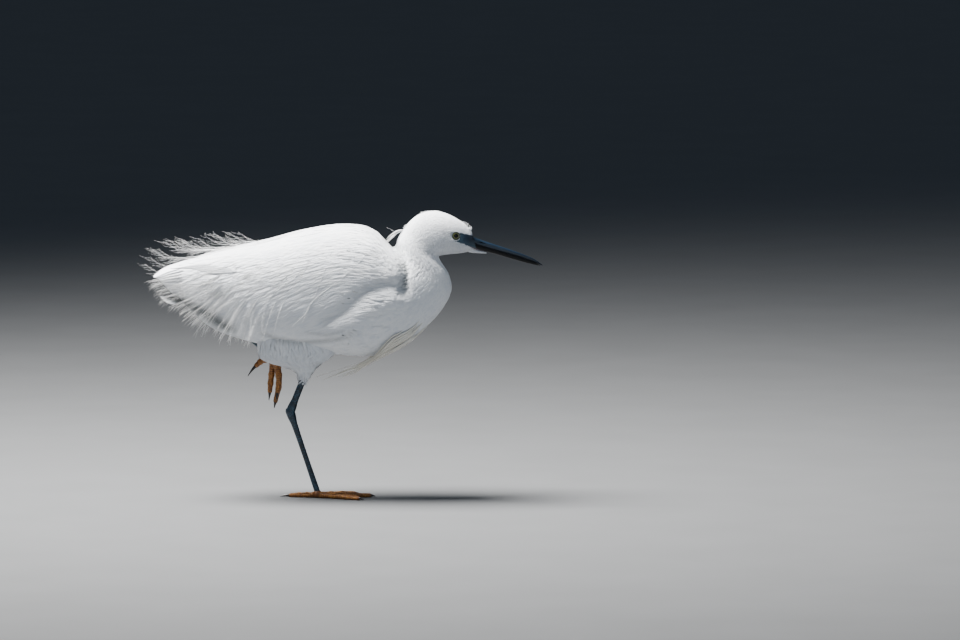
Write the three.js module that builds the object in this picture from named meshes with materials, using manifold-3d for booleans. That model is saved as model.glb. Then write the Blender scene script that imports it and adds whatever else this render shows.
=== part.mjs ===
// Little egret, a still life-size model of the bird wading: it stands on its right foot and has
// just lifted the left one, with the neck drawn in and the bill held out over the water.
//
// Millimetres. +X runs to the bill, +Y to the bird's left, +Z up. The floor is z = 0 and the
// origin is the middle of the standing foot's sole.
//
// The whole plumage is one coat: a row of sections from the folded wing tips to the face. Every
// part is placed on it by a section number s, an angle v round the section (0 on the back, half
// a turn on the belly, positive on the left) and a lift above or below it.

import * as THREE from 'three';
import { mergeVertices } from 'three/addons/utils/BufferGeometryUtils.js';
import Module from 'manifold-3d';

const wasm = await Module();
wasm.setup();

// Sizes shared by the whole bird
const GAP = 0.3;
const COVER_DEPTH = 6;
const VANE_THICK = 0.8;
const HALF_TURN = Math.PI;

// Sections of the coat: x and z on the back, x and z on the belly, half width, squareness
const SECTIONS = [
  [-190.5, 256.5, -190, 243.5, 7, 2.0],
  [-175, 266.5, -173, 236.5, 16, 2.0],
  [-153, 274.0, -152, 223.0, 24, 2.2],
  [-122, 282.5, -122, 198.5, 33, 2.3],
  [-90, 290.5, -90, 186.0, 42, 2.4],
  [-55, 298.5, -58, 178.0, 49, 2.5],
  [-15, 309.0, -21, 172.0, 53, 2.5],
  [25, 315.0, 23, 168.0, 54, 2.5],
  [55, 312.8, 62, 166.0, 52, 2.5],
  [71, 303.5, 97, 177.5, 47, 2.4],
  [80.5, 293.0, 126.5, 201.0, 40, 2.3],
  [85, 288.5, 145, 223.0, 32, 2.2],
  [88.5, 290.0, 153, 241.5, 27, 2.1],
  [91, 293.5, 149.5, 259.0, 24.5, 2.1],
  [92, 298.0, 141.5, 272.0, 22.5, 2.1],
  [94.5, 303.5, 138.5, 279.5, 20.5, 2.1],
  [99, 310.5, 142.5, 281.2, 19, 2.1],
  [107, 320.3, 148.3, 282.0, 18.3, 2.1],
  [118.5, 328.3, 155, 282.7, 17.8, 2.1],
  [134.5, 331.4, 161, 283.2, 17, 2.1],
  [149.5, 327.5, 166.8, 284.0, 14.5, 2.2],
  [161.5, 321.2, 172.5, 285.2, 11, 2.3],
  [171.5, 313.8, 178.2, 286.9, 7.8, 2.4],
  [177.5, 306.0, 182.8, 286.3, 6.5, 2.4],
];

// Where the coat is parted into nodes, by section number
const TORSO_END = 2.6;
const NECK_CUT = 10.35;
const THROAT_CUT = 12.5;
const HEAD_CUT = 15.2;
const FACE_END = SECTIONS.length - 1;

// The mantle between the wings and the folded wings, by section number and angle
const WING_BACK = 2.4;
const WING_FRONT = 10.1;
const MANTLE_BACK = 3.6;
const MANTLE_FRONT = 9.5;
const MANTLE_HALF = 0.65;

// Eye: its place seen from the side, its ball and the opening between the lids
const EYE = { x: 158.7, z: 304.4, radius: 4.6, ring: 3.7 };

// Legs: joints from the body to the ground
const STANDING = {
  feathered: [-17.5, -9.5, 137],
  ankle: [-32, -5, 100],
  foot: [-1, 0, 7],
};
const LIFTED = {
  feathered: [-84, 12, 197],
  ankle: [-122, 8, 217.5],
  foot: [-50, 10, 158],
};

const COLOURS = {
  white: 0xeef2f6,
  shade: 0xd9e0e7,
  cream: 0xe9e6da,
  bill: 0x1c2432,
  billEdge: 0x10131a,
  lore: 0x4a6078,
  eye: 0xe8e29a,
  leg: 0x1c3440,
  toe: 0x9a5a1e,
  claw: 0x16120e,
};

// Small number helpers
const mix = (a, b, t) => a + (b - a) * t;
const clamp = (t) => Math.min(1, Math.max(0, t));
const ease = (t) => clamp(t) * clamp(t) * (3 - 2 * clamp(t));
const vec = (list) => new THREE.Vector3(...list);

function randomFrom(seed) {
  let state = seed;
  return () => {
    state = (state * 1664525 + 1013904223) % 4294967296;
    return state / 4294967296;
  };
}

// Value read from rows of [s, value], straight between the rows
function alongRows(rows, s) {
  let i = 0;
  while (i < rows.length - 2 && s > rows[i + 1][0]) i += 1;
  const [[s0, a], [s1, b]] = [rows[i], rows[i + 1]];
  return mix(a, b, clamp((s - s0) / (s1 - s0)));
}

// The coat as a surface
const curveOf = (pick) => new THREE.CatmullRomCurve3(SECTIONS.map((row) => vec(pick(row))));
const backLine = curveOf((row) => [row[0], 0, row[1]]);
const bellyLine = curveOf((row) => [row[2], 0, row[3]]);
const girthLine = curveOf((row) => [row[4], row[5], 0]);

function coatPoint(s, v) {
  const t = clamp(s / FACE_END);
  const back = backLine.getPoint(t);
  const belly = bellyLine.getPoint(t);
  const girth = girthLine.getPoint(t);
  const square = Math.abs(Math.cos(v)) ** girth.y + Math.abs(Math.sin(v)) ** girth.y;
  const reach = square ** (-1 / girth.y);
  const point = belly.lerp(back, 0.5 + 0.5 * reach * Math.cos(v));
  return point.setY(girth.x * reach * Math.sin(v));
}

function coatNormal(s, v) {
  const ds = 0.05;
  const dv = 0.02;
  const forward = coatPoint(Math.min(s + ds, FACE_END), v).sub(coatPoint(Math.max(s - ds, 0), v));
  const round = coatPoint(s, v + dv).sub(coatPoint(s, v - dv));
  return forward.cross(round).normalize();
}

function onCoat(s, v, lift = 0) {
  return coatPoint(s, v).addScaledVector(coatNormal(s, v), lift);
}

// Limits of the folded wing: its upper and lower edge as [s, angle], its front edge as [angle, s]
const UPPER_EDGE = [[0, 0.1], [3.2, 0.1], [6.2, MANTLE_HALF], [11, MANTLE_HALF]];
const LOWER_EDGE = [
  [2, 2.25], [3.2, 2.5], [4.4, 2.6], [7, 2.5], [8.6, 2.25], [9.6, 2.05], [11, 1.95],
];
const FRONT_EDGE = [[0.6, 9.5], [1.2, 9.9], [1.6, WING_FRONT], [2.0, 9.7], [2.6, 8.9]];
const upperEdge = (s) => alongRows(UPPER_EDGE, s);
const lowerEdge = (s) => alongRows(LOWER_EDGE, s);
const frontEdge = (v) => alongRows(FRONT_EDGE, v);

// How far the flesh lies below the coat: deep under the wings and the mantle, nothing elsewhere
function coverDepth(s, v) {
  const angle = Math.abs(v) > HALF_TURN ? 2 * HALF_TURN - Math.abs(v) : Math.abs(v);
  const below = 1 - ease((angle - lowerEdge(s)) / 0.3);
  const front = 1 - ease((s - frontEdge(angle)) / 0.22);
  return COVER_DEPTH * below * front;
}

// The rump narrows to the root of the tail behind the legs
const rumpScale = (s) => mix(0.42, 1, ease((s - TORSO_END) / 3));

function fleshPoint(s, v) {
  const surface = onCoat(s, v, -coverDepth(s, v));
  const middle = coatPoint(s, 0).lerp(coatPoint(s, HALF_TURN), 0.45);
  return surface.lerp(middle, 1 - rumpScale(s));
}

// A closed solid from points and triangles, turned so that its faces point outwards
function manifoldOf(points, faces) {
  const volume = faces.reduce((sum, [a, b, c]) => {
    const normal = points[b].clone().cross(points[c]);
    return sum + points[a].dot(normal);
  }, 0);
  const order = volume > 0 ? faces : faces.map(([a, b, c]) => [a, c, b]);
  return new wasm.Manifold(new wasm.Mesh({
    numProp: 3,
    vertProperties: new Float32Array(points.flatMap((p) => [p.x, p.y, p.z])),
    triVerts: new Uint32Array(order.flat()),
  }));
}

function solidOf(geometry) {
  const bare = geometry.clone();
  bare.deleteAttribute('normal');
  bare.deleteAttribute('uv');
  const merged = mergeVertices(bare, 1e-4);
  return new wasm.Manifold(new wasm.Mesh({
    numProp: 3,
    vertProperties: new Float32Array(merged.attributes.position.array),
    triVerts: new Uint32Array(merged.index.array),
  }));
}

// A loft through rings of points, with a flat fan at each end
function loft(rings) {
  const around = rings[0].length;
  const points = rings.flat();
  const faces = [];
  for (let i = 0; i < rings.length - 1; i += 1) {
    for (let j = 0; j < around; j += 1) {
      const a = i * around + j;
      const b = i * around + ((j + 1) % around);
      faces.push([a, b, b + around], [a, b + around, a + around]);
    }
  }
  [0, rings.length - 1].forEach((end) => {
    const middle = rings[end].reduce((sum, p) => sum.add(p), new THREE.Vector3());
    points.push(middle.divideScalar(around));
    for (let j = 0; j < around; j += 1) {
      const a = end * around + j;
      const b = end * around + ((j + 1) % around);
      faces.push(end === 0 ? [points.length - 1, b, a] : [points.length - 1, a, b]);
    }
  });
  return manifoldOf(points, faces);
}

// A slab between an upper and a lower grid, split into triangles alike on both faces
function slab(upper, lower) {
  const rows = upper.length;
  const columns = upper[0].length;
  const under = rows * columns;
  const points = [...upper.flat(), ...lower.flat()];
  const at = (i, j) => i * columns + j;
  const faces = [];
  for (let i = 0; i < rows - 1; i += 1) {
    for (let j = 0; j < columns - 1; j += 1) {
      const [a, b, c, d] = [at(i, j), at(i, j + 1), at(i + 1, j + 1), at(i + 1, j)];
      faces.push([a, b, c], [a, c, d]);
      faces.push([under + a, under + c, under + b], [under + a, under + d, under + c]);
    }
  }
  const rim = [];
  for (let j = 0; j < columns - 1; j += 1) {
    rim.push([at(0, j + 1), at(0, j)], [at(rows - 1, j), at(rows - 1, j + 1)]);
  }
  for (let i = 0; i < rows - 1; i += 1) {
    rim.push([at(i, 0), at(i + 1, 0)], [at(i + 1, columns - 1), at(i, columns - 1)]);
  }
  rim.forEach(([a, b]) => faces.push([a, b, under + b], [a, under + b, under + a]));
  return manifoldOf(points, faces);
}

// A rod of oval section through stations of { at, wide, deep }; a level section lies flat
function rod(stations, sides = 8) {
  const places = stations.map((station) => vec(station.at));
  const rings = stations.map(({ wide, deep = wide, level }, i) => {
    const ahead = places[Math.min(i + 1, places.length - 1)];
    const behind = places[Math.max(i - 1, 0)];
    const along = level ? vec([0, 0, -1]) : ahead.clone().sub(behind).normalize();
    const across = new THREE.Vector3(0, 1, 0).addScaledVector(along, -along.y).normalize();
    const third = along.clone().cross(across);
    return Array.from({ length: sides }, (_, j) => {
      const angle = (j / sides) * 2 * HALF_TURN;
      return places[i].clone()
        .addScaledVector(across, Math.cos(angle) * wide)
        .addScaledVector(third, Math.sin(angle) * deep);
    });
  });
  return loft(rings);
}

const join = (pieces) => pieces.reduce((whole, piece) => whole.add(piece));

// The largest closed surface of a solid, without the small hollows shut in between feathers
function largestSurface(solid) {
  const { vertProperties, triVerts, numProp } = solid.getMesh();
  const parent = Array.from({ length: vertProperties.length / numProp }, (_, i) => i);
  const rootOf = (i) => {
    let k = i;
    while (parent[k] !== k) {
      parent[k] = parent[parent[k]];
      k = parent[k];
    }
    return k;
  };
  for (let i = 0; i < triVerts.length; i += 3) {
    parent[rootOf(triVerts[i + 1])] = rootOf(triVerts[i]);
    parent[rootOf(triVerts[i + 2])] = rootOf(triVerts[i]);
  }
  const groups = new Map();
  for (let i = 0; i < triVerts.length; i += 3) {
    const key = rootOf(triVerts[i]);
    if (!groups.has(key)) groups.set(key, []);
    groups.get(key).push(...triVerts.slice(i, i + 3));
  }
  const largest = [...groups.values()].reduce((best, group) => (group.length > best.length ? group : best));
  const geometry = new THREE.BufferGeometry();
  const corners = largest.flatMap((i) => [...vertProperties.slice(i * numProp, i * numProp + 3)]);
  geometry.setAttribute('position', new THREE.BufferAttribute(new Float32Array(corners), 3));
  return mergeVertices(geometry, 1e-5);
}

// The scene graph
const egret = new THREE.Group();

function addNode(name, solid, colour, roughness = 0.85) {
  const geometry = largestSurface(solid);
  const material = new THREE.MeshStandardMaterial({ color: colour, roughness, metalness: 0 });
  const mesh = new THREE.Mesh(geometry, material);
  mesh.name = name;
  egret.add(mesh);
}

// Flesh: torso, neck and head from one loft, parted by thin cuts across it
const FLESH_RINGS = 35;
const FLESH_AROUND = 16;

function fleshLoft(lift) {
  const rings = Array.from({ length: FLESH_RINGS }, (_, i) => {
    const s = mix(TORSO_END, FACE_END, i / (FLESH_RINGS - 1));
    return Array.from({ length: FLESH_AROUND }, (_unused, j) => {
      const v = (j / FLESH_AROUND) * 2 * HALF_TURN;
      return fleshPoint(s, v).addScaledVector(coatNormal(s, v), lift);
    });
  });
  return loft(rings);
}

// A thin wall across the coat at section s
function cutAt(s) {
  const back = coatPoint(s, 0);
  const belly = coatPoint(s, HALF_TURN);
  const length = back.distanceTo(belly);
  const wall = new THREE.BoxGeometry(GAP, 160, length + 14);
  wall.rotateY(Math.atan2(back.x - belly.x, back.z - belly.z));
  const middle = back.clone().lerp(belly, 0.5 + 5 / length);
  wall.translate(middle.x, 0, middle.z);
  return solidOf(wall);
}

const flesh = fleshLoft(0);
const fleshAndGap = fleshLoft(GAP);
const [torso, neckLower, neckUpper, headBlank] = [NECK_CUT, THROAT_CUT, HEAD_CUT]
  .reduce((whole, s) => whole.subtract(cutAt(s)), flesh)
  .decompose()
  .sort((a, b) => a.boundingBox().min[2] - b.boundingBox().min[2]);

// Feathers
const VANE_LEAN = 0.8;
const VANE_WIDTHS = [[0, 0.55], [0.3, 0.95], [0.6, 1], [0.85, 0.72], [1, 0.16]];

// A feather vane along a path, a slab of even thickness that thins at the tip; crown bends it over
// its shaft and lean lifts one edge over the next feather and sinks the other
function vane(places, normals, width, { thick = VANE_THICK, columns = 3, crown = 0.05, lean = 0 } = {}) {
  const upper = [];
  const lower = [];
  places.forEach((place, i) => {
    const t = i / (places.length - 1);
    const ahead = places[Math.min(i + 1, places.length - 1)];
    const along = ahead.clone().sub(places[Math.max(i - 1, 0)]).normalize();
    const across = along.clone().cross(normals[i]).normalize();
    const up = across.clone().cross(along).normalize();
    const half = 0.5 * width * alongRows(VANE_WIDTHS, t);
    const depth = thick * mix(1, 0.45, ease((t - 0.7) / 0.3));
    const row = Array.from({ length: columns }, (_, j) => {
      const side = (2 * j) / (columns - 1) - 1;
      const rise = (1 - side * side) * width * crown + side * lean * ease(2 * t);
      return place.clone().addScaledVector(across, side * half).addScaledVector(up, rise);
    });
    upper.push(row.map((p) => p.clone().addScaledVector(up, depth / 2)));
    lower.push(row.map((p) => p.clone().addScaledVector(up, -depth / 2)));
  });
  return slab(upper, lower);
}

// A vane lying on the coat from its quill at [s, v] to its tip, sunk at the quill
function coatVane(side, from, to, { width, sink = 2.6, lift, rows, thick }) {
  const places = [];
  const normals = [];
  for (let i = 0; i < rows; i += 1) {
    const t = i / (rows - 1);
    const s = mix(from[0], to[0], t);
    const v = side * mix(from[1], to[1], t);
    places.push(onCoat(s, v, mix(-sink, lift, ease(t * 1.6))));
    normals.push(coatNormal(s, v));
  }
  return vane(places, normals, width, { thick, lean: side * VANE_LEAN, crown: 0.055 });
}

// Tracts of the folded wing: [quill of the first, quill of the last, tip of the first, tip of the
// last, how many, width, lift of the first, lift of the last, thickness, rows]. Those that lie on
// the body of the wing are bedded in it; the long ones behind it are free vanes.
const WING_TRACTS = [
  [[9.6, 0.9], [9.4, 1.85], [8.4, 0.9], [8.2, 2.0], 4, 22, -0.6, -0.6, 2.4, 3],
  [[8.5, 0.85], [8.3, 2.1], [7.1, 0.86], [7.0, 2.25], 4, 27, -0.6, -0.6, 2.4, 3],
  [[7.2, 0.9], [7.0, 2.3], [5.6, 0.95], [5.5, 2.45], 5, 25, -0.6, -0.6, 2.4, 3],
  [[5.7, 1.3], [5.5, 2.4], [3.9, 1.4], [4.0, 2.5], 4, 24, -0.6, -0.6, 2.4, 3],
  [[4.3, 1.6], [4.2, 2.35], [2.2, 1.7], [2.6, 2.4], 3, 20, -0.6, -0.6, VANE_THICK, 3],
  [[5.8, 0.84], [4.4, 0.6], [2.9, 0.7], [1.6, 0.3], 3, 20, -0.4, -0.8, 1.6, 4],
  [[3.5, 0.6], [3.4, 1.75], [0.15, 0.9], [1.4, 1.9], 5, 14, -0.5, -3.3, VANE_THICK, 4],
];

function wingTracts(side) {
  return WING_TRACTS.flatMap(([fromA, fromB, toA, toB, count, width, liftA, liftB, thick, rows]) => (
    Array.from({ length: count }, (_, i) => {
      const t = i / (count - 1);
      const from = [mix(fromA[0], fromB[0], t), mix(fromA[1], fromB[1], t)];
      const to = [mix(toA[0], toB[0], t), mix(toA[1], toB[1], t)];
      return coatVane(side, from, to, { width, lift: mix(liftA, liftB, t), thick, rows });
    })
  ));
}

// A thick curved slab over the folded wing's place that hugs the torso; room makes it wider all
// round, for cutting a neighbour clear of the wing
function wingSlab(side, room = 0) {
  const rows = 10;
  const columns = 6;
  const grid = (liftAt) => Array.from({ length: rows }, (_, i) => (
    Array.from({ length: columns }, (_unused, j) => {
      const p = i / (rows - 1);
      const q = j / (columns - 1);
      const first = mix(WING_BACK, WING_FRONT, p);
      const v = mix(upperEdge(first), lowerEdge(first) + 0.35 * room, q);
      const s = mix(WING_BACK, frontEdge(v), p);
      const edge = Math.min(p * 1.2, (1 - p) * 1.6, q, 1 - q);
      return onCoat(s, side * v, liftAt(edge));
    })
  ));
  return slab(
    grid((edge) => mix(-3.4, -1, ease(edge / 0.14)) + 8 * room),
    grid(() => -COVER_DEPTH - 0.5 - room),
  );
}

[['left', 1], ['right', -1]].forEach(([name, side]) => {
  const wing = join([wingSlab(side), ...wingTracts(side)]).subtract(fleshAndGap);
  addNode(`wing_${name}`, wing, COLOURS.white);
});

// A slender spine of three sides that bends once, such as a barb
function spine(root, middle, tip, radius) {
  const along = tip.clone().sub(root).normalize();
  const helper = Math.abs(along.z) < 0.8 ? new THREE.Vector3(0, 0, 1) : new THREE.Vector3(0, 1, 0);
  const across = along.clone().cross(helper).normalize();
  const third = along.clone().cross(across);
  const ring = (centre, size) => [0, 1, 2].map((k) => {
    const angle = (k / 3) * 2 * HALF_TURN;
    return centre.clone()
      .addScaledVector(across, size * Math.cos(angle))
      .addScaledVector(third, size * Math.sin(angle));
  });
  const points = [...ring(root, radius), ...ring(middle, radius * 0.8), tip];
  const sides = [0, 1, 2].flatMap((k) => {
    const next = (k + 1) % 3;
    return [[k, next, next + 3], [k, next + 3, k + 3], [k + 3, next + 3, 6]];
  });
  return manifoldOf(points, [[2, 1, 0], ...sides]);
}

// A loose plume: a thin shaft along a curve with soft barbs on both sides, spread at right angles
// to the outward direction and drooping by their weight
function plume(places, { outward, bends, barbs, barbLength, random, first, droop = 0.1 }) {
  const curve = new THREE.CatmullRomCurve3(places);
  const stations = Array.from({ length: bends + 1 }, (_, i) => {
    const size = mix(0.6, 0.27, i / bends);
    return { at: curve.getPoint(i / bends).toArray(), wide: size };
  });
  const pieces = [rod(stations, 3)];
  for (let i = 0; i < barbs; i += 1) {
    const t = mix(first, 0.97, (i + 0.3 * random()) / (barbs - 1 + 0.3));
    const along = curve.getTangent(t);
    const side = i % 2 === 0 ? 1 : -1;
    const across = outward.clone().cross(along).normalize().multiplyScalar(side);
    const length = barbLength * mix(1, 0.55, t) * mix(0.8, 1.15, random());
    const root = curve.getPoint(t);
    const reach = (ahead, out) => root.clone()
      .addScaledVector(along, length * ahead)
      .addScaledVector(across, length * out);
    const middle = reach(0.42, 0.2);
    const tip = reach(0.85, 0.42);
    tip.z -= length * droop;
    pieces.push(spine(root.addScaledVector(along, -0.6), middle, tip, 0.42));
  }
  return join(pieces);
}

// Mantle: the cape of feathers between the wings, with the loose plumes of the breeding coat
function mantleBlock() {
  const rows = 9;
  const columns = 5;
  const grid = (liftAt) => Array.from({ length: rows }, (_, i) => (
    Array.from({ length: columns }, (_unused, j) => {
      const s = mix(MANTLE_BACK, MANTLE_FRONT, i / (rows - 1));
      const half = upperEdge(s) - 0.02;
      const q = (2 * j) / (columns - 1) - 1;
      const edge = Math.min(i / (rows - 1), 1 - i / (rows - 1), (1 - Math.abs(q)) * 0.5);
      return onCoat(s, half * q, liftAt(edge));
    })
  ));
  return slab(grid((edge) => mix(-2.2, 0, ease(edge / 0.16))), grid(() => -COVER_DEPTH - 0.5));
}

// Plumes that sweep back over the rump and curl up: quill [s, v], how far they bend back to
// [s, v], and where the tip stands in the air
const CURLED_PLUMES = [
  [[6.4, 0.1], [4.9, 0.12], [-84, 10, 309]],
  [[6.3, 0.25], [4.1, 0.3], [-134, 16, 299]],
  [[5.9, 0.02], [3.6, 0.05], [-152, 1, 300]],
  [[5.7, -0.3], [3.5, -0.4], [-160, -17, 299]],
  [[5.6, 0.3], [3.2, 0.35], [-171, 13, 296]],
  [[5.5, -0.1], [2.9, -0.15], [-180, -6, 294]],
  [[5.3, 0.15], [2.6, 0.3], [-189, 9, 287]],
  [[5.2, -0.25], [2.2, -0.45], [-193, -12, 282]],
  [[5.0, 0.0], [1.6, 0.0], [-207, 2, 261]],
];

// Plumes that fall down the sides over the folded wing, with tips under its lower edge
const DRAPED_PLUMES = [
  [[5.5, 0.4], [3.2, 1.1], [-198, 20, 246]],
  [[5.6, 0.42], [3.4, 1.35], [-184, 24, 237]],
  [[5.8, 0.42], [3.5, 1.6], [-174, 27, 206]],
  [[6.0, 0.44], [3.8, 1.7], [-144, 34, 199]],
  [[6.3, 0.44], [4.2, 1.8], [-115, 41, 187]],
  [[6.7, 0.44], [4.8, 1.9], [-78, 56, 182]],
];

function mantlePlumes() {
  const random = randomFrom(31);
  const curled = CURLED_PLUMES.map(([quill, back, tip]) => {
    const end = vec(tip);
    const low = onCoat(back[0], back[1], 4);
    const bent = low.clone().lerp(end, 0.55);
    bent.z -= 0.12 * low.distanceTo(end);
    const leave = onCoat(mix(quill[0], back[0], 0.5), mix(quill[1], back[1], 0.5), 2.6);
    const outward = new THREE.Vector3(0, 0, 1);
    return plume([onCoat(...quill, -3), leave, low, bent, end], {
      outward, bends: 5, barbs: 4, barbLength: 26, random, first: 0.45,
    });
  });
  const draped = [1, -1].flatMap((side) => DRAPED_PLUMES.map(([quill, over, tip]) => {
    const end = vec([tip[0], side * tip[1], tip[2]]);
    const overWing = [0.18, 0.55, 1].map((t) => (
      onCoat(mix(quill[0], over[0], t), side * mix(quill[1], over[1], t), 5.4)
    ));
    const outward = new THREE.Vector3(0, side, 0.3);
    return plume([onCoat(quill[0], side * quill[1], -4), ...overWing, end], {
      outward, bends: 4, barbs: 3, barbLength: 26, random, droop: 0.3, first: 0.6,
    });
  }));
  return [...curled, ...draped];
}

addNode('mantle', join([mantleBlock().subtract(fleshAndGap), ...mantlePlumes()]), COLOURS.white);

// Breast: long narrow plumes that grow at the base of the neck and hang back under the body
const BREAST_PLUMES = [
  [[9.8, 2.3], [60, 27, 161]],
  [[10.1, 2.42], [50, 24, 155]],
  [[9.9, 2.55], [38, 21, 149]],
  [[10.1, 2.75], [25, 16, 145]],
  [[10.2, 3.0], [3, 7, 149]],
];

function breastPlumes() {
  return [1, -1].flatMap((side) => BREAST_PLUMES.map(([quill, tip]) => {
    const end = vec([tip[0] + (side > 0 ? 6 : 0), side * tip[1], tip[2]]);
    const under = [0.4, 1].map((t) => onCoat(mix(quill[0], 8.7, t), side * quill[1], 2 + 2.5 * t));
    const curve = new THREE.CatmullRomCurve3([onCoat(quill[0], side * quill[1], -1.5), ...under, end]);
    const places = [0, 0.2, 0.4, 0.7, 1].map((t) => curve.getPoint(t));
    const normals = places.map(() => coatNormal(9.4, side * quill[1]));
    return vane(places, normals, 4, { columns: 2, crown: 0 });
  }));
}

addNode('torso', join([torso, ...breastPlumes()]), COLOURS.shade);
addNode('neck_lower', neckLower, COLOURS.white);
addNode('neck_upper', neckUpper, COLOURS.white);

// Head: eyelids round the eyes, bare lores, the line of the gape and the feathered chin
const LORE_OUTLINE = [
  [158.6, 297.2], [158.6, 298.6], [163.6, 299.8], [164.6, 304.5], [163, 308], [169.5, 305.6],
  [178.5, 303.6], [184, 301.8], [184, 292.2], [171.5, 294.4],
];
const LORE_DEPTH = 4.6;
const CHIN_WEDGE = [
  [174, 0, 287.6, 3.8], [184, 0, 285.2, 2.3], [190, 0, 284.1, 1.5], [195, 0, 283.0, 0.5],
];

// The place [s, v] on the coat nearest to a point seen from the side
function coatPlaceAt(x, z) {
  let best = { gap: Infinity };
  for (let s = 15; s < FACE_END; s += 0.1) {
    for (let v = 0.3; v < 2.8; v += 0.05) {
      const p = coatPoint(s, v);
      const gap = Math.hypot(p.x - x, p.z - z);
      if (gap < best.gap) best = { gap, s, v };
    }
  }
  return best;
}

const eyePlace = coatPlaceAt(EYE.x, EYE.z);
const eyeNormal = (side) => coatNormal(eyePlace.s, side * eyePlace.v);
const eyeCentre = (side) => onCoat(eyePlace.s, side * eyePlace.v, 1.1 - EYE.radius);

function ball(centre, radius, columns = 10, rows = 7) {
  const geometry = new THREE.SphereGeometry(radius, columns, rows);
  geometry.translate(centre.x, centre.y, centre.z);
  return solidOf(geometry);
}

function eyelid(side) {
  const ring = new THREE.TorusGeometry(EYE.ring + 0.5, 0.8, 5, 10);
  const facing = new THREE.Quaternion();
  facing.setFromUnitVectors(new THREE.Vector3(0, 0, 1), eyeNormal(side));
  ring.applyQuaternion(facing);
  const place = onCoat(eyePlace.s, side * eyePlace.v, 0.05);
  ring.translate(place.x, place.y, place.z);
  return solidOf(ring);
}

// An outline moved outwards by the same distance on every side
function widened(outline, grow) {
  const corners = outline.map(([x, z]) => new THREE.Vector2(x, z));
  const count = corners.length;
  const outwards = corners.map((corner, i) => {
    const along = corners[(i + 1) % count].clone().sub(corner).normalize();
    return new THREE.Vector2(-along.y, along.x);
  });
  return corners.map((corner, i) => {
    const before = outwards[(i + count - 1) % count];
    const after = outwards[i];
    const reach = grow / (1 + before.dot(after));
    return corner.addScaledVector(before.clone().add(after), reach);
  });
}

function lorePrism(side, grow) {
  const corners = widened(LORE_OUTLINE, grow);
  const shape = new THREE.ExtrudeGeometry(new THREE.Shape(corners), { depth: 20, bevelEnabled: false });
  shape.rotateX(HALF_TURN / 2);
  const inner = LORE_DEPTH - grow;
  shape.translate(0, side > 0 ? 20 + inner : -inner, 0);
  return solidOf(shape);
}

function chinWedge(grow) {
  return rod(CHIN_WEDGE.map(([x, y, z, size]) => ({ at: [x, y, z], wide: size + grow })), 8);
}

// Two long plumes of the nape that fall towards the back
const NAPE_PLUMES = [
  [[101, 1, 311], [94, 3, 307.5], [86, 5, 301.5], [79.5, 6, 297]],
  [[101, -2, 311.5], [94, -3.5, 309.5], [86, -4, 309], [79, -4, 313.5]],
];

function napePlumes() {
  return NAPE_PLUMES.map((places) => {
    const curve = new THREE.CatmullRomCurve3(places.map(vec));
    const stations = Array.from({ length: 6 }, (_, i) => ({
      at: curve.getPoint(i / 5).toArray(),
      wide: mix(1.6, 0.4, i / 5),
      deep: mix(0.9, 0.3, i / 5),
    }));
    return rod(stations, 5);
  });
}

let head = join([headBlank, eyelid(1), eyelid(-1), chinWedge(0), ...napePlumes()]);
[['left', 1], ['right', -1]].forEach(([name, side]) => {
  const socket = ball(eyeCentre(side), EYE.radius + GAP);
  const lore = headBlank.intersect(lorePrism(side, 0)).subtract(socket);
  addNode(`lore_${name}`, lore, COLOURS.lore, 0.5);
  addNode(`eye_${name}`, ball(eyeCentre(side), EYE.radius), COLOURS.eye, 0.1);
  head = head.subtract(lorePrism(side, GAP)).subtract(socket);
});
addNode('head', head, COLOURS.white);

// Bill: two mandibles of half-oval section that meet along the line of the mouth
const UPPER_BILL = [
  { ridge: [179.4, 301.6], edge: [182.2, 293.0], half: 5.8 },
  { ridge: [187, 298.6], edge: [188.6, 291.2], half: 5.2 },
  { ridge: [203.5, 293.0], edge: [204.5, 286.6], half: 4.3 },
  { ridge: [221, 287.2], edge: [222, 281.5], half: 3.5 },
  { ridge: [238, 281.0], edge: [239, 276.0], half: 2.5 },
  { ridge: [250, 275.5], edge: [250.3, 272.1], half: 1.5 },
  { ridge: [257, 270.0], edge: [257, 269.2], half: 0.5 },
];
const LOWER_BILL = [
  { ridge: [183.3, 287.0], edge: [182.3, 292.6], half: 5.6 },
  { ridge: [189.5, 285.6], edge: [188.6, 290.9], half: 4.9 },
  { ridge: [205, 281.6], edge: [204.5, 286.3], half: 4 },
  { ridge: [222, 276.7], edge: [222, 281.2], half: 3.2 },
  { ridge: [239, 272.0], edge: [239, 275.7], half: 2.3 },
  { ridge: [249, 269.7], edge: [250.3, 271.8], half: 1.3 },
  { ridge: [255, 268.5], edge: [255, 269.3], half: 0.5 },
];
const NOSTRIL = [
  { at: [185.5, 4.9, 296.4], wide: 0.4, deep: 0.3 },
  { at: [188.5, 4.65, 295.5], wide: 1, deep: 0.7 },
  { at: [192, 4.4, 294.4], wide: 0.4, deep: 0.3 },
];

function mandible(stations) {
  const corners = 9;
  return loft(stations.map(({ ridge, edge, half }) => Array.from({ length: corners }, (_, k) => {
    const angle = (k / (corners - 1)) * HALF_TURN;
    const up = Math.sin(angle) ** 0.8;
    const across = half * Math.cos(angle);
    return new THREE.Vector3(mix(edge[0], ridge[0], up), across, mix(edge[1], ridge[1], up));
  })));
}

function nostril(side) {
  return rod(NOSTRIL.map(({ at: [x, y, z], ...size }) => ({ at: [x, side * y, z], ...size })), 6);
}

const upperBill = mandible(UPPER_BILL).subtract(nostril(1)).subtract(nostril(-1));
addNode('bill_upper', upperBill, COLOURS.bill, 0.35);
addNode('bill_lower', mandible(LOWER_BILL).subtract(chinWedge(GAP)), COLOURS.billEdge, 0.4);

// Tail: twelve short vanes closed under the wing tips, on a root that grows from the rump
const TAIL_VANES = 12;

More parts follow.
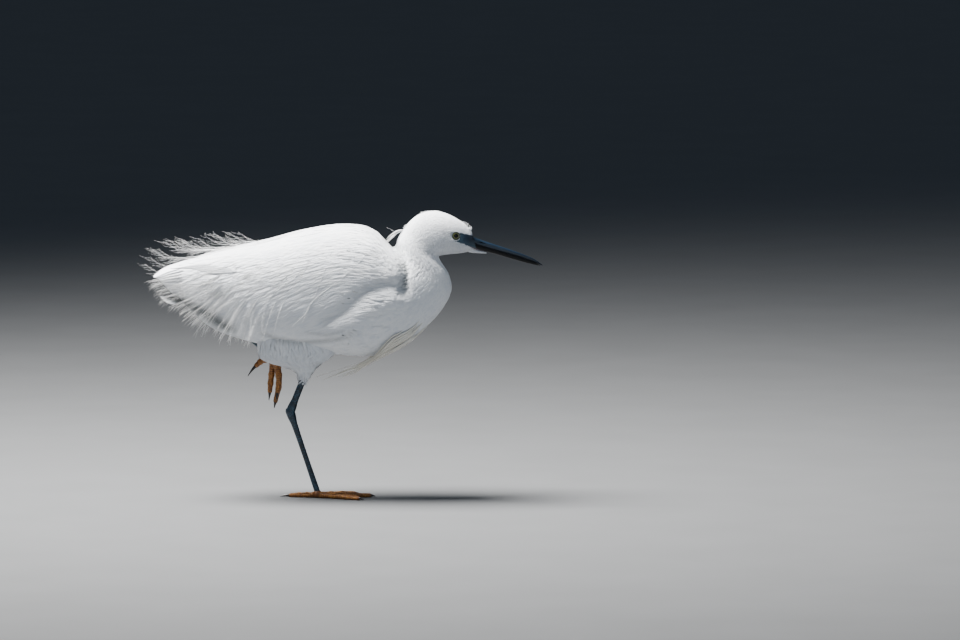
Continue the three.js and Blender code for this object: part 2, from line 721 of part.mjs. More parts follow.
function tail() {
  const rump = coatPoint(TORSO_END, 0).lerp(coatPoint(TORSO_END, HALF_TURN), 0.5);
  const root = rod([
    { at: [rump.x - GAP, 0, rump.z + 1], wide: 10.5, deep: 9 },
    { at: [rump.x - 8, 0, rump.z - 2], wide: 10, deep: 6 },
    { at: [rump.x - 17, 0, rump.z - 6], wide: 8, deep: 2.5 },
  ], 10);
  const vanes = Array.from({ length: TAIL_VANES }, (_, i) => {
    const k = i - (TAIL_VANES - 1) / 2;
    const fan = Math.abs(k);
    const path = new THREE.CatmullRomCurve3([
      new THREE.Vector3(rump.x - 5, k * 1.1, rump.z - 2 - fan * 0.7),
      new THREE.Vector3(rump.x - 24, k * 1.8, rump.z - 10.5 - fan * 0.85),
      new THREE.Vector3(rump.x - 48 + fan * 1.5, k * 2.3, rump.z - 10 - fan * 0.9),
    ]);
    const places = [0, 0.5, 1].map((t) => path.getPoint(t));
    const lean = new THREE.Vector3(0, 0.1 * k, 1).normalize();
    return vane(places, places.map(() => lean), 9, { thick: 0.6, columns: 2, crown: 0 });
  });
  return join([root, ...vanes]).subtract(fleshAndGap);
}

addNode('tail', tail(), COLOURS.white);

// Legs: feathered thighs, bare shanks, and shins that run from the ankle to the foot
const point = (a, b, t) => vec(a).lerp(vec(b), t).toArray();

function shank({ feathered, ankle }, grow) {
  return rod([
    { at: point(feathered, ankle, -0.1), wide: 3.6 + grow },
    { at: feathered, wide: 3.7 + grow },
    { at: point(feathered, ankle, 0.6), wide: 3.8 + grow },
    { at: point(feathered, ankle, 0.85), wide: 4.6 + grow, deep: 5 + grow },
  ], 10);
}

function shin({ ankle, foot }, grow) {
  return rod([
    { at: point(ankle, foot, -0.05 - grow * 0.01), wide: 3 + grow, deep: 3.4 + grow },
    { at: point(ankle, foot, -0.01), wide: 4.8 + grow, deep: 5.2 + grow },
    { at: point(ankle, foot, 0.05), wide: 4.6 + grow, deep: 5 + grow },
    { at: point(ankle, foot, 0.14), wide: 3.1 + grow, deep: 3.6 + grow },
    { at: point(ankle, foot, 0.8), wide: 2.7 + grow, deep: 3.1 + grow },
    { at: point(ankle, foot, 1), wide: 3.4 + grow, deep: 3.2 + grow },
  ], 10);
}

const RIGHT_THIGH = [
  { at: [-24, -21, 203], wide: 11, deep: 22 },
  { at: [-24, -22, 186], wide: 14, deep: 36, level: true },
  { at: [-23, -19, 172], wide: 15, deep: 42, level: true },
  { at: [-26, -17, 163], wide: 14, deep: 37, level: true },
  { at: [-23.5, -15, 157.5], wide: 12, deep: 26.5, level: true },
  { at: [-17, -12, 151.5], wide: 8.5, deep: 14, level: true },
  { at: [-15.8, -10.6, 145.5], wide: 6.6, deep: 8.4, level: true },
  { at: [-17.2, -9.6, 139], wide: 5.2, deep: 5.6 },
  { at: [-18.6, -9.2, 133], wide: 4.4, deep: 4.6 },
];
const LEFT_THIGH = [
  { at: [-12, 22, 190], wide: 18, deep: 20 },
  { at: [-36, 19, 185.5], wide: 13.5, deep: 15 },
  { at: [-57, 16, 188.5], wide: 10, deep: 10 },
  { at: [-76, 12.8, 195.4], wide: 6, deep: 6 },
  { at: [-87, 11.6, 201], wide: 4.5, deep: 4.6 },
];

function addLeg(name, side, joints, thighStations) {
  const thigh = rod(thighStations, 14)
    .subtract(shank(joints, GAP))
    .subtract(wingSlab(side, 1))
    .subtract(fleshAndGap);
  addNode(`thigh_${name}`, thigh, COLOURS.shade);
  addNode(`shank_${name}`, shank(joints, 0).subtract(shin(joints, GAP)), COLOURS.leg, 0.6);
  addNode(`shin_${name}`, shin(joints, 0), COLOURS.leg, 0.6);
}

addLeg('right', -1, STANDING, RIGHT_THIGH);
addLeg('left', 1, LIFTED, LEFT_THIGH);

// Feet: a pad and four toes each, with the claws as pieces of their own
const TOE_KNOTS = [
  [0, 1.25], [0.3, 0.98], [0.37, 1.16], [0.45, 0.94], [0.66, 1.06], [0.76, 0.84], [1, 0.72],
];
const TOE_NAMES = ['inner', 'middle', 'outer', 'hind'];
const CLAW_LENGTH = [9, 10, 9, 12];

// Standing toes: heading in degrees from straight ahead and length to the claw
const STANDING_TOES = [[30, 50], [2, 62], [-28, 55], [172, 33]];
const TOE_RADIUS = 3;

// Lifted toes hang from the foot, [three points down to the claw]
const LIFTED_TOES = [
  [[-52, 14, 156], [-54.5, 16, 136], [-56, 16, 120]],
  [[-49, 10.5, 155], [-45, 10, 134], [-49.5, 9, 109.5]],
  [[-47, 7, 156], [-45, 4, 137], [-47, 1.5, 121]],
  [[-53, 10, 159.5], [-64, 10, 158], [-72.5, 10, 151]],
];

function toe(curve, radius) {
  const station = ([t, swell]) => ({ at: curve.getPoint(t).toArray(), wide: radius * swell });
  return rod(TOE_KNOTS.map(station), 6);
}

function claw(curve, length, radius, floor) {
  const end = curve.getPoint(1);
  const along = curve.getTangent(1);
  const hook = new THREE.Vector3(0, 0, -1);
  const stations = [0, 0.5, 1].map((t) => {
    const centre = end.clone().addScaledVector(along, GAP + length * t);
    centre.addScaledVector(hook, length * (floor ? 0.12 : 0.35) * t * t);
    return { at: centre.toArray(), wide: radius * mix(0.66, 0.12, t) };
  });
  return rod(stations, 6);
}

function addFoot(name, centre, curves, joints, floor) {
  const ground = solidOf(new THREE.BoxGeometry(400, 400, 40).translate(0, 0, -20));
  const pad = ball(vec(centre), 5.4, 8, 6);
  const radius = floor ? TOE_RADIUS : TOE_RADIUS * 1.13;
  const toes = curves.map((curve) => toe(curve, radius));
  const foot = join([pad, ...toes]).subtract(shin(joints, GAP)).subtract(ground);
  addNode(`foot_${name}`, foot, COLOURS.toe, 0.6);
  curves.forEach((curve, i) => {
    const horn = claw(curve, CLAW_LENGTH[i] * (floor ? 1 : 0.8), radius, floor);
    addNode(`claw_${name}_${TOE_NAMES[i]}`, horn, COLOURS.claw, 0.4);
  });
}

const standingCurves = STANDING_TOES.map(([heading, length]) => {
  const angle = (heading * HALF_TURN) / 180;
  const reach = (t, z) => new THREE.Vector3(Math.cos(angle) * length * t, Math.sin(angle) * length * t, z);
  return new THREE.CatmullRomCurve3([reach(0, 3.4), reach(0.5, 2.7), reach(1, 2.2)]);
});
addFoot('right', [0, 0, 4], standingCurves, STANDING, true);
const liftedCurves = LIFTED_TOES.map((places) => new THREE.CatmullRomCurve3(places.map(vec)));
addFoot('left', LIFTED.foot, liftedCurves, LIFTED, false);

export default egret;
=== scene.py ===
# %% [markdown]
# # A little egret for a museum case
#
# This lesson dresses a still, life-size little egret. The frame gives the bird's solids in metres,
# with the bill along +X, the bird's left along +Y and the floor at z = 0. The solids set the size
# and the outline. Here they get skin, thousands of feathers, loose plumes, horn, scales and eyes.

# %% Load the frame
import math

import bmesh
import bpy
import numpy as np
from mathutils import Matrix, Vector


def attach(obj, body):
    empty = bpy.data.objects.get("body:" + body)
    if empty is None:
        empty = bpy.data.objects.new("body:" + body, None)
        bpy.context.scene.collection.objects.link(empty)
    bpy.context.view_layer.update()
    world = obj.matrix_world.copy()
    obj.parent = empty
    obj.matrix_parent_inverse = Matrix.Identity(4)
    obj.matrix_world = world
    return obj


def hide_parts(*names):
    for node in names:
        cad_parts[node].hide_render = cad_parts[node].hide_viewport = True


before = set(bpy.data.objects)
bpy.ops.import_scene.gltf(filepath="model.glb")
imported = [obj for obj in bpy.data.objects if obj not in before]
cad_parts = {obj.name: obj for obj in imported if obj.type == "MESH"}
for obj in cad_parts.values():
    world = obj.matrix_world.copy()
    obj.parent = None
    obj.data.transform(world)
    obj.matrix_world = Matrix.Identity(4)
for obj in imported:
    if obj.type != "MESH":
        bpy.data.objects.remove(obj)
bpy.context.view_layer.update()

MM = 0.001
HALF_TURN = math.pi
FULL_TURN = 2 * math.pi


def mix(a, b, t):
    return a + (b - a) * t


def ease(t):
    t = np.clip(t, 0.0, 1.0)
    return t * t * (3 - 2 * t)


def along_rows(rows, s):
    """Value read from rows of (s, value), straight between them."""
    return np.interp(s, [row[0] for row in rows], [row[1] for row in rows])


def unit(vectors):
    return vectors / np.maximum(np.linalg.norm(vectors, axis=-1, keepdims=True), 1e-12)


# %% [markdown]
# ## The coat as a surface
#
# A bird's outline is its feathers, not its body. The coat is a row of sections from the folded wing
# tips to the face, the same ones that the solids were made from. A place on it is a section number
# s and an angle v round the section: 0 on the back, half a turn on the belly, positive on the left.
# Everything that grows on the bird is placed by s, v and a lift above the coat, so nothing floats.

# %% Sections of the coat: back x and z, belly x and z, half width, squareness
SECTIONS = [
    (-190.5, 256.5, -190, 243.5, 7, 2.0),
    (-175, 266.5, -173, 236.5, 16, 2.0),
    (-153, 274.0, -152, 223.0, 24, 2.2),
    (-122, 282.5, -122, 198.5, 33, 2.3),
    (-90, 290.5, -90, 186.0, 42, 2.4),
    (-55, 298.5, -58, 178.0, 49, 2.5),
    (-15, 309.0, -21, 172.0, 53, 2.5),
    (25, 315.0, 23, 168.0, 54, 2.5),
    (55, 312.8, 62, 166.0, 52, 2.5),
    (71, 303.5, 97, 177.5, 47, 2.4),
    (80.5, 293.0, 126.5, 201.0, 40, 2.3),
    (85, 288.5, 145, 223.0, 32, 2.2),
    (88.5, 290.0, 153, 241.5, 27, 2.1),
    (91, 293.5, 149.5, 259.0, 24.5, 2.1),
    (92, 298.0, 141.5, 272.0, 22.5, 2.1),
    (94.5, 303.5, 138.5, 279.5, 20.5, 2.1),
    (99, 310.5, 142.5, 281.2, 19, 2.1),
    (107, 320.3, 148.3, 282.0, 18.3, 2.1),
    (118.5, 328.3, 155, 282.7, 17.8, 2.1),
    (134.5, 331.4, 161, 283.2, 17, 2.1),
    (149.5, 327.5, 166.8, 284.0, 14.5, 2.2),
    (161.5, 321.2, 172.5, 285.2, 11, 2.3),
    (171.5, 313.8, 178.2, 286.9, 7.8, 2.4),
    (177.5, 306.0, 182.8, 286.3, 6.5, 2.4),
]
FACE_END = len(SECTIONS) - 1


def spline_through(points):
    """A smooth curve through points, as a function of the point number."""
    p = np.vstack([2 * points[0] - points[1], points, 2 * points[-1] - points[-2]])
    step = np.sqrt(np.linalg.norm(np.diff(p, axis=0), axis=1))[:, None]
    before, here, after = step[:-2], step[1:-1], step[2:]
    p0, p1, p2, p3 = p[:-3], p[1:-2], p[2:-1], p[3:]
    leave = ((p1 - p0) / before - (p2 - p0) / (before + here) + (p2 - p1) / here) * here
    reach = ((p2 - p1) / here - (p3 - p1) / (here + after) + (p3 - p2) / after) * here

    def at(s):
        s = np.clip(np.asarray(s, float), 0, len(points) - 1)
        k = np.minimum(s.astype(int), len(points) - 2)
        w = (s - k)[..., None]
        a, b, m, n = p1[k], p2[k], leave[k], reach[k]
        return a + w * (m + w * (3 * (b - a) - 2 * m - n + w * (m + n - 2 * (b - a))))

    return at


_rows = np.array(SECTIONS)
_zero = np.zeros(len(_rows))
back_line = spline_through(np.column_stack([_rows[:, 0], _zero, _rows[:, 1]]))
belly_line = spline_through(np.column_stack([_rows[:, 2], _zero, _rows[:, 3]]))
girth_line = spline_through(np.column_stack([_rows[:, 4], _rows[:, 5], _zero]))
print(len(SECTIONS), "sections from x", SECTIONS[0][0], "to", SECTIONS[-1][2], "mm")


# %% [markdown]
# Plumage isn't a smooth shell. It folds where the neck meets the wing and along the wing's lower
# edge. Each fold is a soft stroke seen from the side: how far it pushes the coat outward in
# millimetres, how far it reaches and the line it follows. Shade works the same way: light gets lost
# between loose feathers, so a stroke of shade darkens their finish where a fold is deep.

# %% Strokes of folds and of shade
# Size, reach and a line of [x, z], in millimetres
WING_BEND = [(78, 302), (85, 296), (91, 288), (96.6, 277), (100, 265), (100, 252), (98, 241)]
WING_FRONT = [(99, 243), (90, 249), (77, 251), (62, 247), (48, 239), (37, 229), (27, 220), (12, 211)]
WING_HEM = [(-64, 194), (-44, 187), (-21, 184), (5, 185), (28, 189), (46, 198)]
FOLDS = [
    (-4.5, 4.5, WING_BEND), (2.5, 9.0, [(66, 296), (76, 288), (84, 277), (88, 265)]),
    (-2.8, 7.0, WING_FRONT), (3.0, 12.0, [(88, 233), (72, 227), (54, 216), (38, 204), (22, 199)]),
    (-1.6, 4.0, WING_HEM),
]
SHADED = [
    (0.55, 4.0, WING_BEND), (0.6, 3.0, [(98, 272), (101, 262), (101, 250)]), (0.16, 8.0, WING_FRONT),
    (0.45, 2.6, WING_HEM), (0.3, 2.2, [(-10, 196), (10, 193), (30, 198)]),
    (0.9, 8.0, [(-182, 237), (-160, 229), (-132, 217), (-104, 200)]),
    (0.14, 3.5, [(136, 314), (147, 310), (153, 308)]),
    (0.12, 12.0, [(118, 286), (135, 290), (160, 291)]),
]
print(len(FOLDS), "folds and", len(SHADED), "strokes of shade")


def side_distance(x, z, line):
    """Distance in millimetres from points seen from the side to a line of [x, z]."""
    nearest = np.full(np.shape(x), 1e9)
    for (x0, z0), (x1, z1) in zip(line[:-1], line[1:]):
        run = np.array([x1 - x0, z1 - z0], float)
        t = np.clip(((x - x0) * run[0] + (z - z0) * run[1]) / (run @ run), 0, 1)
        nearest = np.minimum(nearest, np.hypot(x - x0 - t * run[0], z - z0 - t * run[1]))
    return nearest


def side_sum(x, z, strokes):
    return sum(size * np.exp(-(side_distance(x, z, line) / reach) ** 2)
               for size, reach, line in strokes)


# %% Points and directions of the coat
def plain_coat_mm(s, v):
    s, v = np.broadcast_arrays(np.asarray(s, float), np.asarray(v, float))
    back, belly, girth = back_line(s), belly_line(s), girth_line(s)
    square = girth[..., 1]
    reach = (np.abs(np.cos(v)) ** square + np.abs(np.sin(v)) ** square) ** (-1 / square)
    point = belly + (back - belly) * (0.5 + 0.5 * reach * np.cos(v))[..., None]
    point[..., 1] = girth[..., 0] * reach * np.sin(v)
    return point


def coat_mm(s, v):
    """A point of the coat with its folds, which fade out towards the back and the belly."""
    point = plain_coat_mm(s, v)
    side = np.broadcast_to(np.sin(np.asarray(v, float)), point.shape[:-1])
    deep = side_sum(point[..., 0], point[..., 2], FOLDS)
    point[..., 1] += np.sign(side) * np.minimum(np.abs(side) * 1.6, 1) * deep
    return point


def coat_frame(s, v):
    """(outward, headward, downward) unit vectors of the coat: downward runs from back to belly."""
    s, v = np.broadcast_arrays(np.asarray(s, float), np.asarray(v, float))
    headward = coat_mm(np.minimum(s + 0.05, FACE_END), v) - coat_mm(np.maximum(s - 0.05, 0), v)
    around = coat_mm(s, v + 0.02) - coat_mm(s, v - 0.02)
    outward = unit(np.cross(headward, around))
    headward = unit(headward)
    downward = np.cross(outward, headward) * np.where(np.sin(v) < 0, -1.0, 1.0)[..., None]
    return outward, headward, unit(downward)


def on_coat(s, v, lift=0.0):
    """A point in metres, lift in millimetres above the coat."""
    outward = coat_frame(s, v)[0]
    return (coat_mm(s, v) + outward * np.asarray(lift, float)[..., None]) * MM


crown = np.round(on_coat(19, 0.0), 4)

# %% [markdown]
# ## Floor, light and camera
#
# A white bird needs a floor a little darker than itself, or its outline is lost. The floor is a wide
# plain disc of pale grey. One broad soft lamp hangs behind and above the back, as a bright sky does,
# so that the side towards the camera lies in soft shade, and a much weaker lamp fills that side. The
# camera stands far away with a long lens, six degrees above level, which keeps the proportions of a
# bird seen across water. A material is a recipe of nodes, so a few helpers that add, set and link
# nodes come first, and the floor's paint is the first recipe.

# %% Recipes for finishes
def new_finish(name, roughness, specular=0.5):
    finish = bpy.data.materials.new(name)
    finish.use_nodes = True
    shader = finish.node_tree.nodes["Principled BSDF"]
    shader.inputs["Roughness"].default_value = roughness
    shader.inputs["Specular IOR Level"].default_value = specular
    return finish, finish.node_tree, shader


def add_node(tree, kind, links=None, **settings):
    """A node with its sockets set by name, or linked where links names an output."""
    node = tree.nodes.new(kind)
    for key, value in settings.items():
        if hasattr(node, key):
            setattr(node, key, value)
        else:
            node.inputs[key.replace("_", " ")].default_value = value
    for socket, output in (links or {}).items():
        tree.links.new(output, node.inputs[socket])
    return node


def colour_steps(tree, fac, steps):
    """A colour ramp from (position, colour) steps."""
    ramp = add_node(tree, "ShaderNodeValToRGB", {"Fac": fac})
    elements = ramp.color_ramp.elements
    while len(elements) < len(steps):
        elements.new(0.5)
    for element, (position, colour) in zip(elements, steps):
        element.position = position
        element.color = (*colour, 1)
    return ramp.outputs["Color"]


def own_place(tree):
    """The place on the piece itself, in metres."""
    return add_node(tree, "ShaderNodeTexCoord").outputs["Object"]


def noise(tree, place, scale, detail):
    node = add_node(tree, "ShaderNodeTexNoise", {"Vector": place}, Scale=scale, Detail=detail)
    return node.outputs["Fac"]


def paint(tree, shader, colour):
    tree.links.new(colour, shader.inputs["Base Color"])


# %% Floor
def in_scene(name, data):
    thing = bpy.data.objects.new(name, data)
    bpy.context.scene.collection.objects.link(thing)
    return thing


def pale_floor(radius=26.0, sides=96):
    ring = [FULL_TURN * k / sides for k in range(sides)]
    corners = [(radius * math.cos(a), radius * math.sin(a), 0.0) for a in ring]
    mesh = bpy.data.meshes.new("floor")
    mesh.from_pydata(corners, [], [list(range(sides))])
    finish, tree, shader = new_finish("matt_floor_paint", 0.9)
    speckle = noise(tree, own_place(tree), 9.0, 2.0)
    greys = [(0.0, (0.09, 0.093, 0.096)), (1.0, (0.105, 0.108, 0.112))]
    paint(tree, shader, colour_steps(tree, speckle, greys))
    mesh.materials.append(finish)
    return in_scene("floor", mesh)


floor = pale_floor()
print("floor of", len(floor.data.vertices), "sides")


# %% Soft lamps and an even sky
def soft_lamp(name, place, aim, size, power, colour, spread):
    lamp = bpy.data.lights.new(name, "AREA")
    lamp.shape = "DISK"
    lamp.size = size
    lamp.energy = power
    lamp.color = colour
    lamp.spread = math.radians(spread)
    holder = in_scene(name, lamp)
    holder.location = place
    holder.rotation_euler = (Vector(aim) - Vector(place)).to_track_quat("-Z", "Y").to_euler()
    return holder


BODY_MIDDLE = (0.0, 0.0, 0.24)
lamps = [soft_lamp("sky_lamp", (-0.9, 0.05, 2.2), BODY_MIDDLE, 1.2, 175, (1.0, 0.985, 0.96), 110),
         soft_lamp("front_fill", (0.9, -2.2, 1.5), BODY_MIDDLE, 1.6, 2, (0.75, 0.88, 1.0), 70)]
print("lamps:", {lamp.name: lamp.data.energy for lamp in lamps})

sky = bpy.data.worlds.new("even_sky")
sky.use_nodes = True
sky.node_tree.nodes["Background"].inputs["Color"].default_value = (0.62, 0.78, 1.0, 1)
sky.node_tree.nodes["Background"].inputs["Strength"].default_value = 0.16
bpy.context.scene.world = sky

# %% Camera
VIEW_CENTRE = Vector((0.1863, 0.0, 0.2058))
VIEW_WIDTH = 1.104
VIEW_DISTANCE = 12.0
VIEW_TILT = math.radians(6)


def long_lens_camera():
    camera = bpy.data.cameras.new("camera")
    camera.sensor_width = 36
    camera.lens = 36 * VIEW_DISTANCE / VIEW_WIDTH
    camera.clip_end = 80
    holder = in_scene("camera", camera)
    back = Vector((0, -math.cos(VIEW_TILT), math.sin(VIEW_TILT)))
    holder.location = VIEW_CENTRE + back * VIEW_DISTANCE
    holder.rotation_euler = (-back).to_track_quat("-Z", "Y").to_euler()
    return holder


bpy.context.scene.camera = long_lens_camera()
print("lens of", round(bpy.context.scene.camera.data.lens), "mm at", VIEW_DISTANCE, "m")

# %% [markdown]
# ## Meshes from arrays
#
# A coat has tens of thousands of feathers, far too many to place by hand and too many for particle
# hair if the bird is to be cast or cut later. So a whole tract of feathers is one array of points,
# feather by feather, and every feather uses the same small list of faces. Each feather is a closed
# thin body. The map called OFBake gives each feather its own small patch at its root's place.

# %% One mesh from many alike bodies
PATCH = 0.003


def tiled(faces, points_each, count):
    """The face list of one body, repeated for count bodies."""
    faces = np.asarray(faces, int)
    shift = points_each * np.arange(count)
    return (faces[None] + shift[:, None, None]).reshape(-1, faces.shape[1])


def mesh_of(name, points, faces, sharp_above=None):
    """A mesh object from an array of points and a list of face arrays."""
    mesh = bpy.data.meshes.new(name)
    points = np.asarray(points, np.float32).reshape(-1, 3)
    corners = np.concatenate([f.ravel() for f in faces]).astype(np.int32)
    sizes = np.concatenate([np.full(len(f), f.shape[1], np.int32) for f in faces])
    mesh.vertices.add(len(points))
    mesh.vertices.foreach_set("co", points.ravel())
    mesh.loops.add(len(corners))
    mesh.loops.foreach_set("vertex_index", corners)
    mesh.polygons.add(len(sizes))
    starts = np.concatenate([[0], np.cumsum(sizes)[:-1]]).astype(np.int32)
    mesh.polygons.foreach_set("loop_start", starts)
    mesh.update(calc_edges=True)
    mesh.shade_smooth()
    if sharp_above:
        mesh.set_sharp_from_angle(angle=math.radians(sharp_above))
    return in_scene(name, mesh)


def add_map(piece, name, places):
    """A UV map from one place for each point."""
    mesh = piece.data
    index = np.zeros(len(mesh.loops), np.int32)
    mesh.loops.foreach_get("vertex_index", index)
    layer = mesh.uv_layers.new(name=name)
    layer.data.foreach_set("uv", np.asarray(places, np.float32)[index].ravel())


def add_value(piece, name, values):
    """A number or a vector for each point, for a material or a node tree to read."""
    values = np.asarray(values, np.float32)
    kind, field = ("FLOAT_VECTOR", "vector") if values.ndim == 2 else ("FLOAT", "value")
    column = piece.data.attributes.new(name, kind, "POINT")
    column.data.foreach_set(field, values.ravel())


def coat_map(s, v):
    """The place of [s, v] on the coat when it is laid out flat."""
    round_turn = np.mod(v + HALF_TURN, FULL_TURN) / FULL_TURN
    return np.stack([s / FACE_END, round_turn], axis=-1) * 0.98 + 0.01


# %% [markdown]
# ## One feather
#
# A feather is a shaft with a vane on each side that arches over it. Seen from outside, only the tip
# half of each one shows. A small one needs four points round it: two edges, the ridge over the shaft
# and the underside. A large one gets a flatter section with six points, so that light doesn't make
# a pillow of it. The blade narrows at the root, is widest past the middle and tapers to the tip.

# %% Feather bodies along paths
SMALL_SECTION = [(-1, 0), (0, 1), (1, 0), (0, -0.6)]
LARGE_SECTION = [(-1, 0.0), (-0.55, 0.62), (0, 1), (0.55, 0.62), (1, 0.0), (0, 0.2)]


def feather_points(paths, ups, half_widths, section, crown, thick):
    """Points (count, rows, section) of feathers that follow paths (count, rows, 3)."""
    along = unit(np.gradient(paths, axis=1))
    across = unit(np.cross(along, ups))
    up = np.cross(across, along)
    section = np.asarray(section, float)
    half = np.asarray(half_widths)[..., None, None]
    crown = np.broadcast_to(np.asarray(crown), half_widths.shape)[..., None, None]
    side = section[None, None, :, 0, None] * half
    rise = section[None, None, :, 1, None] * (crown * half + thick)
    return paths[:, :, None] + across[:, :, None] * side + up[:, :, None] * rise


def strip_faces(rows, around):
    """Side faces and the two end faces of a body with rings of points."""
    sides = []
    for i in range(rows - 1):
        for k in range(around):
            a = i * around + k
            b = i * around + (k + 1) % around
            sides.append((a, b, b + around, a + around))
    last = (rows - 1) * around
    ends = [tuple(reversed(range(around))), tuple(range(last, last + around))]
    return sides, ends


print("points round a small and a large feather:", len(SMALL_SECTION), len(LARGE_SECTION))


# %% A mesh of feathers
def soften_normals(piece, ups, section, soft):
    """Turns the shading of each feather towards that of the whole coat, as loose barbs do."""
    mesh = piece.data
    own = np.zeros(len(mesh.vertices) * 3, np.float32)
    mesh.vertices.foreach_get("normal", own)
    face = np.array([1.0 if corner[1] >= 0 else -1.0 for corner in section])
    coat = (ups[:, :, None] * face[None, None, :, None]).reshape(-1, 3)
    blended = unit(own.reshape(-1, 3) * (1 - soft) + coat * soft)
    mesh.normals_split_custom_set_from_vertices(blended.astype(np.float32).tolist())


def feather_piece(name, paths, ups, half_widths, patches, tones, section=SMALL_SECTION,
                  crown=0.12, thick=0.00025, sharp_above=None, soft=0.0, shaded=1.0):
    """A mesh of feathers. Patches hold each root's place on the flat coat; tones vary the white."""
    paths = np.asarray(paths, float)
    count, rows = paths.shape[:2]
    around = len(section)
    points = feather_points(paths, ups, half_widths, section, crown, thick)
    sides, ends = strip_faces(rows, around)
    each = rows * around
    piece = mesh_of(name, points, [tiled(sides, each, count), tiled(ends, each, count)], sharp_above)
    t = np.linspace(0, 1, rows)
    across = np.array([corner[0] for corner in section])
    local = np.stack(np.broadcast_arrays(across[None, :] * 0.5, t[:, None] - 0.5), axis=-1)
    spread = np.asarray(patches)[:, None, None, :] + local[None] * PATCH
    add_map(piece, "OFBake", spread.reshape(-1, 2))
    vane = np.stack(np.broadcast_arrays(across[None, :] * 0.5 + 0.5, t[:, None]), axis=-1)
    add_map(piece, "vane", np.tile(vane.reshape(-1, 2), (count, 1)))
    add_value(piece, "along", np.tile(np.repeat(t, around), count))
    add_value(piece, "tone", np.repeat(np.asarray(tones, float), each))
    add_value(piece, "shade", shaded * side_sum(points[..., 0] / MM, points[..., 2] / MM, SHADED).ravel())
    if soft:
        soften_normals(piece, ups, section, soft)
    return piece


def triangles(piece):
    return sum(len(face.vertices) - 2 for face in piece.data.polygons)

# %% [markdown]
# ## Where feathers grow and how they lie
#
# Feathers aren't scattered: they cover the bird evenly and each lies over the roots of those behind
# it. Even places come from a sequence that fills a square without clumps, stretched so that every
# square millimetre of coat gets its share. A feather then runs tailwards over the coat from its root.
# The root sinks under its neighbours and only the tip half reaches the surface.

# %% Even roots on a part of the coat
def even_pairs(count):
    """Pairs of numbers from 0 to 1 that fill a square without clumps."""
    k = np.arange(count) + 0.5
    return np.mod(k * 0.7548776662, 1), np.mod(k * 0.5698402910, 1)


def even_roots(count, s_range, v_range, share=None):
    """Roots [s, v] spread evenly; share thins them by place."""
    s = np.linspace(*s_range, 220)
    v = np.linspace(*v_range, 180)
    grid = coat_mm(s[:, None], v[None, :])
    area = np.linalg.norm(np.cross(np.gradient(grid, axis=0), np.gradient(grid, axis=1)), axis=-1)
    if share is not None:
        area = area * share(s[:, None], v[None, :])
    area += 1e-9
    rows = np.cumsum(area.sum(axis=1))
    within = np.cumsum(area, axis=1)
    within /= within[:, -1:]
    first, second = even_pairs(count)
    place_s = np.interp(first, rows / rows[-1], s)
    row = np.clip(np.searchsorted(s, place_s), 0, len(s) - 1)
    place_v = np.array([np.interp(second[i], within[row[i]], v) for i in range(count)])
    return place_s, place_v


def side_angle(v):
    """The angle from the back, alike on both sides."""
    turned = np.mod(np.abs(v), FULL_TURN)
    return np.where(turned > HALF_TURN, FULL_TURN - turned, turned)


roots, _ = even_roots(500, (15, 23), (-HALF_TURN, HALF_TURN))
print("even roots on the head lie from", round(roots.min(), 2), "to", round(roots.max(), 2))


# %% Paths over the coat
def lay(s, v, length, turn, rows, sink, lift, bend=0.0):
    """Paths (metres) and outward directions. Length and lifts are in millimetres. Turn tips the
    feather from tailwards towards the belly, and bend adds to it along the way."""
    s, v = np.asarray(s, float), np.asarray(v, float)
    spread = [np.broadcast_to(np.asarray(x, float), s.shape) for x in (length, turn, sink, lift)]
    length, turn, sink, lift = spread
    per_s = np.linalg.norm(coat_mm(s + 0.02, v) - coat_mm(s - 0.02, v), axis=-1) / 0.04
    per_v = np.linalg.norm(coat_mm(s, v + 0.01) - coat_mm(s, v - 0.01), axis=-1) / 0.02
    t = np.linspace(0, 1, rows)
    heading = turn[:, None] + bend * t
    stride = length[:, None] / (rows - 1)
    step_s = -np.cos(heading) * stride / np.maximum(per_s, 1.5)[:, None]
    side = np.where(np.sin(v) < 0, -1, 1)[:, None]
    step_v = np.sin(heading) * stride / np.maximum(per_v, 1.5)[:, None] * side
    zero = np.zeros((len(s), 1))
    path_s = s[:, None] + np.hstack([zero, np.cumsum(step_s[:, :-1], axis=1)])
    path_v = v[:, None] + np.hstack([zero, np.cumsum(step_v[:, :-1], axis=1)])
    rise = mix(-sink[:, None], lift[:, None], ease(t * 1.35))
    return on_coat(path_s, path_v, rise), coat_frame(path_s, path_v)[0]


BLADE = [(0, 0.35), (0.3, 0.8), (0.6, 1.0), (0.82, 0.72), (1, 0.1)]
LANCE = [(0, 0.5), (0.25, 0.9), (0.5, 1.0), (0.8, 0.6), (1, 0.04)]


def blade_widths(width, rows, shape=BLADE):
    """Half widths in metres along each feather."""
    profile = along_rows(shape, np.linspace(0, 1, rows))
    return np.asarray(width, float)[:, None] * 0.5 * MM * profile[None, :]


coat_pieces = []


def wear(pieces, finish):
    """Notes new pieces of the coat with their finish."""
    for piece in pieces:
        coat_pieces.append((piece, finish))
        print(piece.name, "has", triangles(piece), "triangles")


# %% [markdown]
# ## Finishes
#
# White plumage isn't one white. Each feather is a little different, and its root half is painted
# dimmer, as painted shade where it lies under its neighbours. Its vane has fine parallel barbs that
# soften the light. The barbs are a wave pattern in the feather's own map, used only as bump. Last,
# the strokes of painted shade darken the folds. Horn, bare skin and scales get their own recipes
# with the pieces.

# %% Recipes that mix, count and read
def fill(tree, socket, value):
    """Links an output to a socket, or sets the socket to a number or a colour."""
    if isinstance(value, bpy.types.NodeSocket):
        tree.links.new(value, socket)
    else:
        socket.default_value = (*value, 1) if isinstance(value, tuple) else value


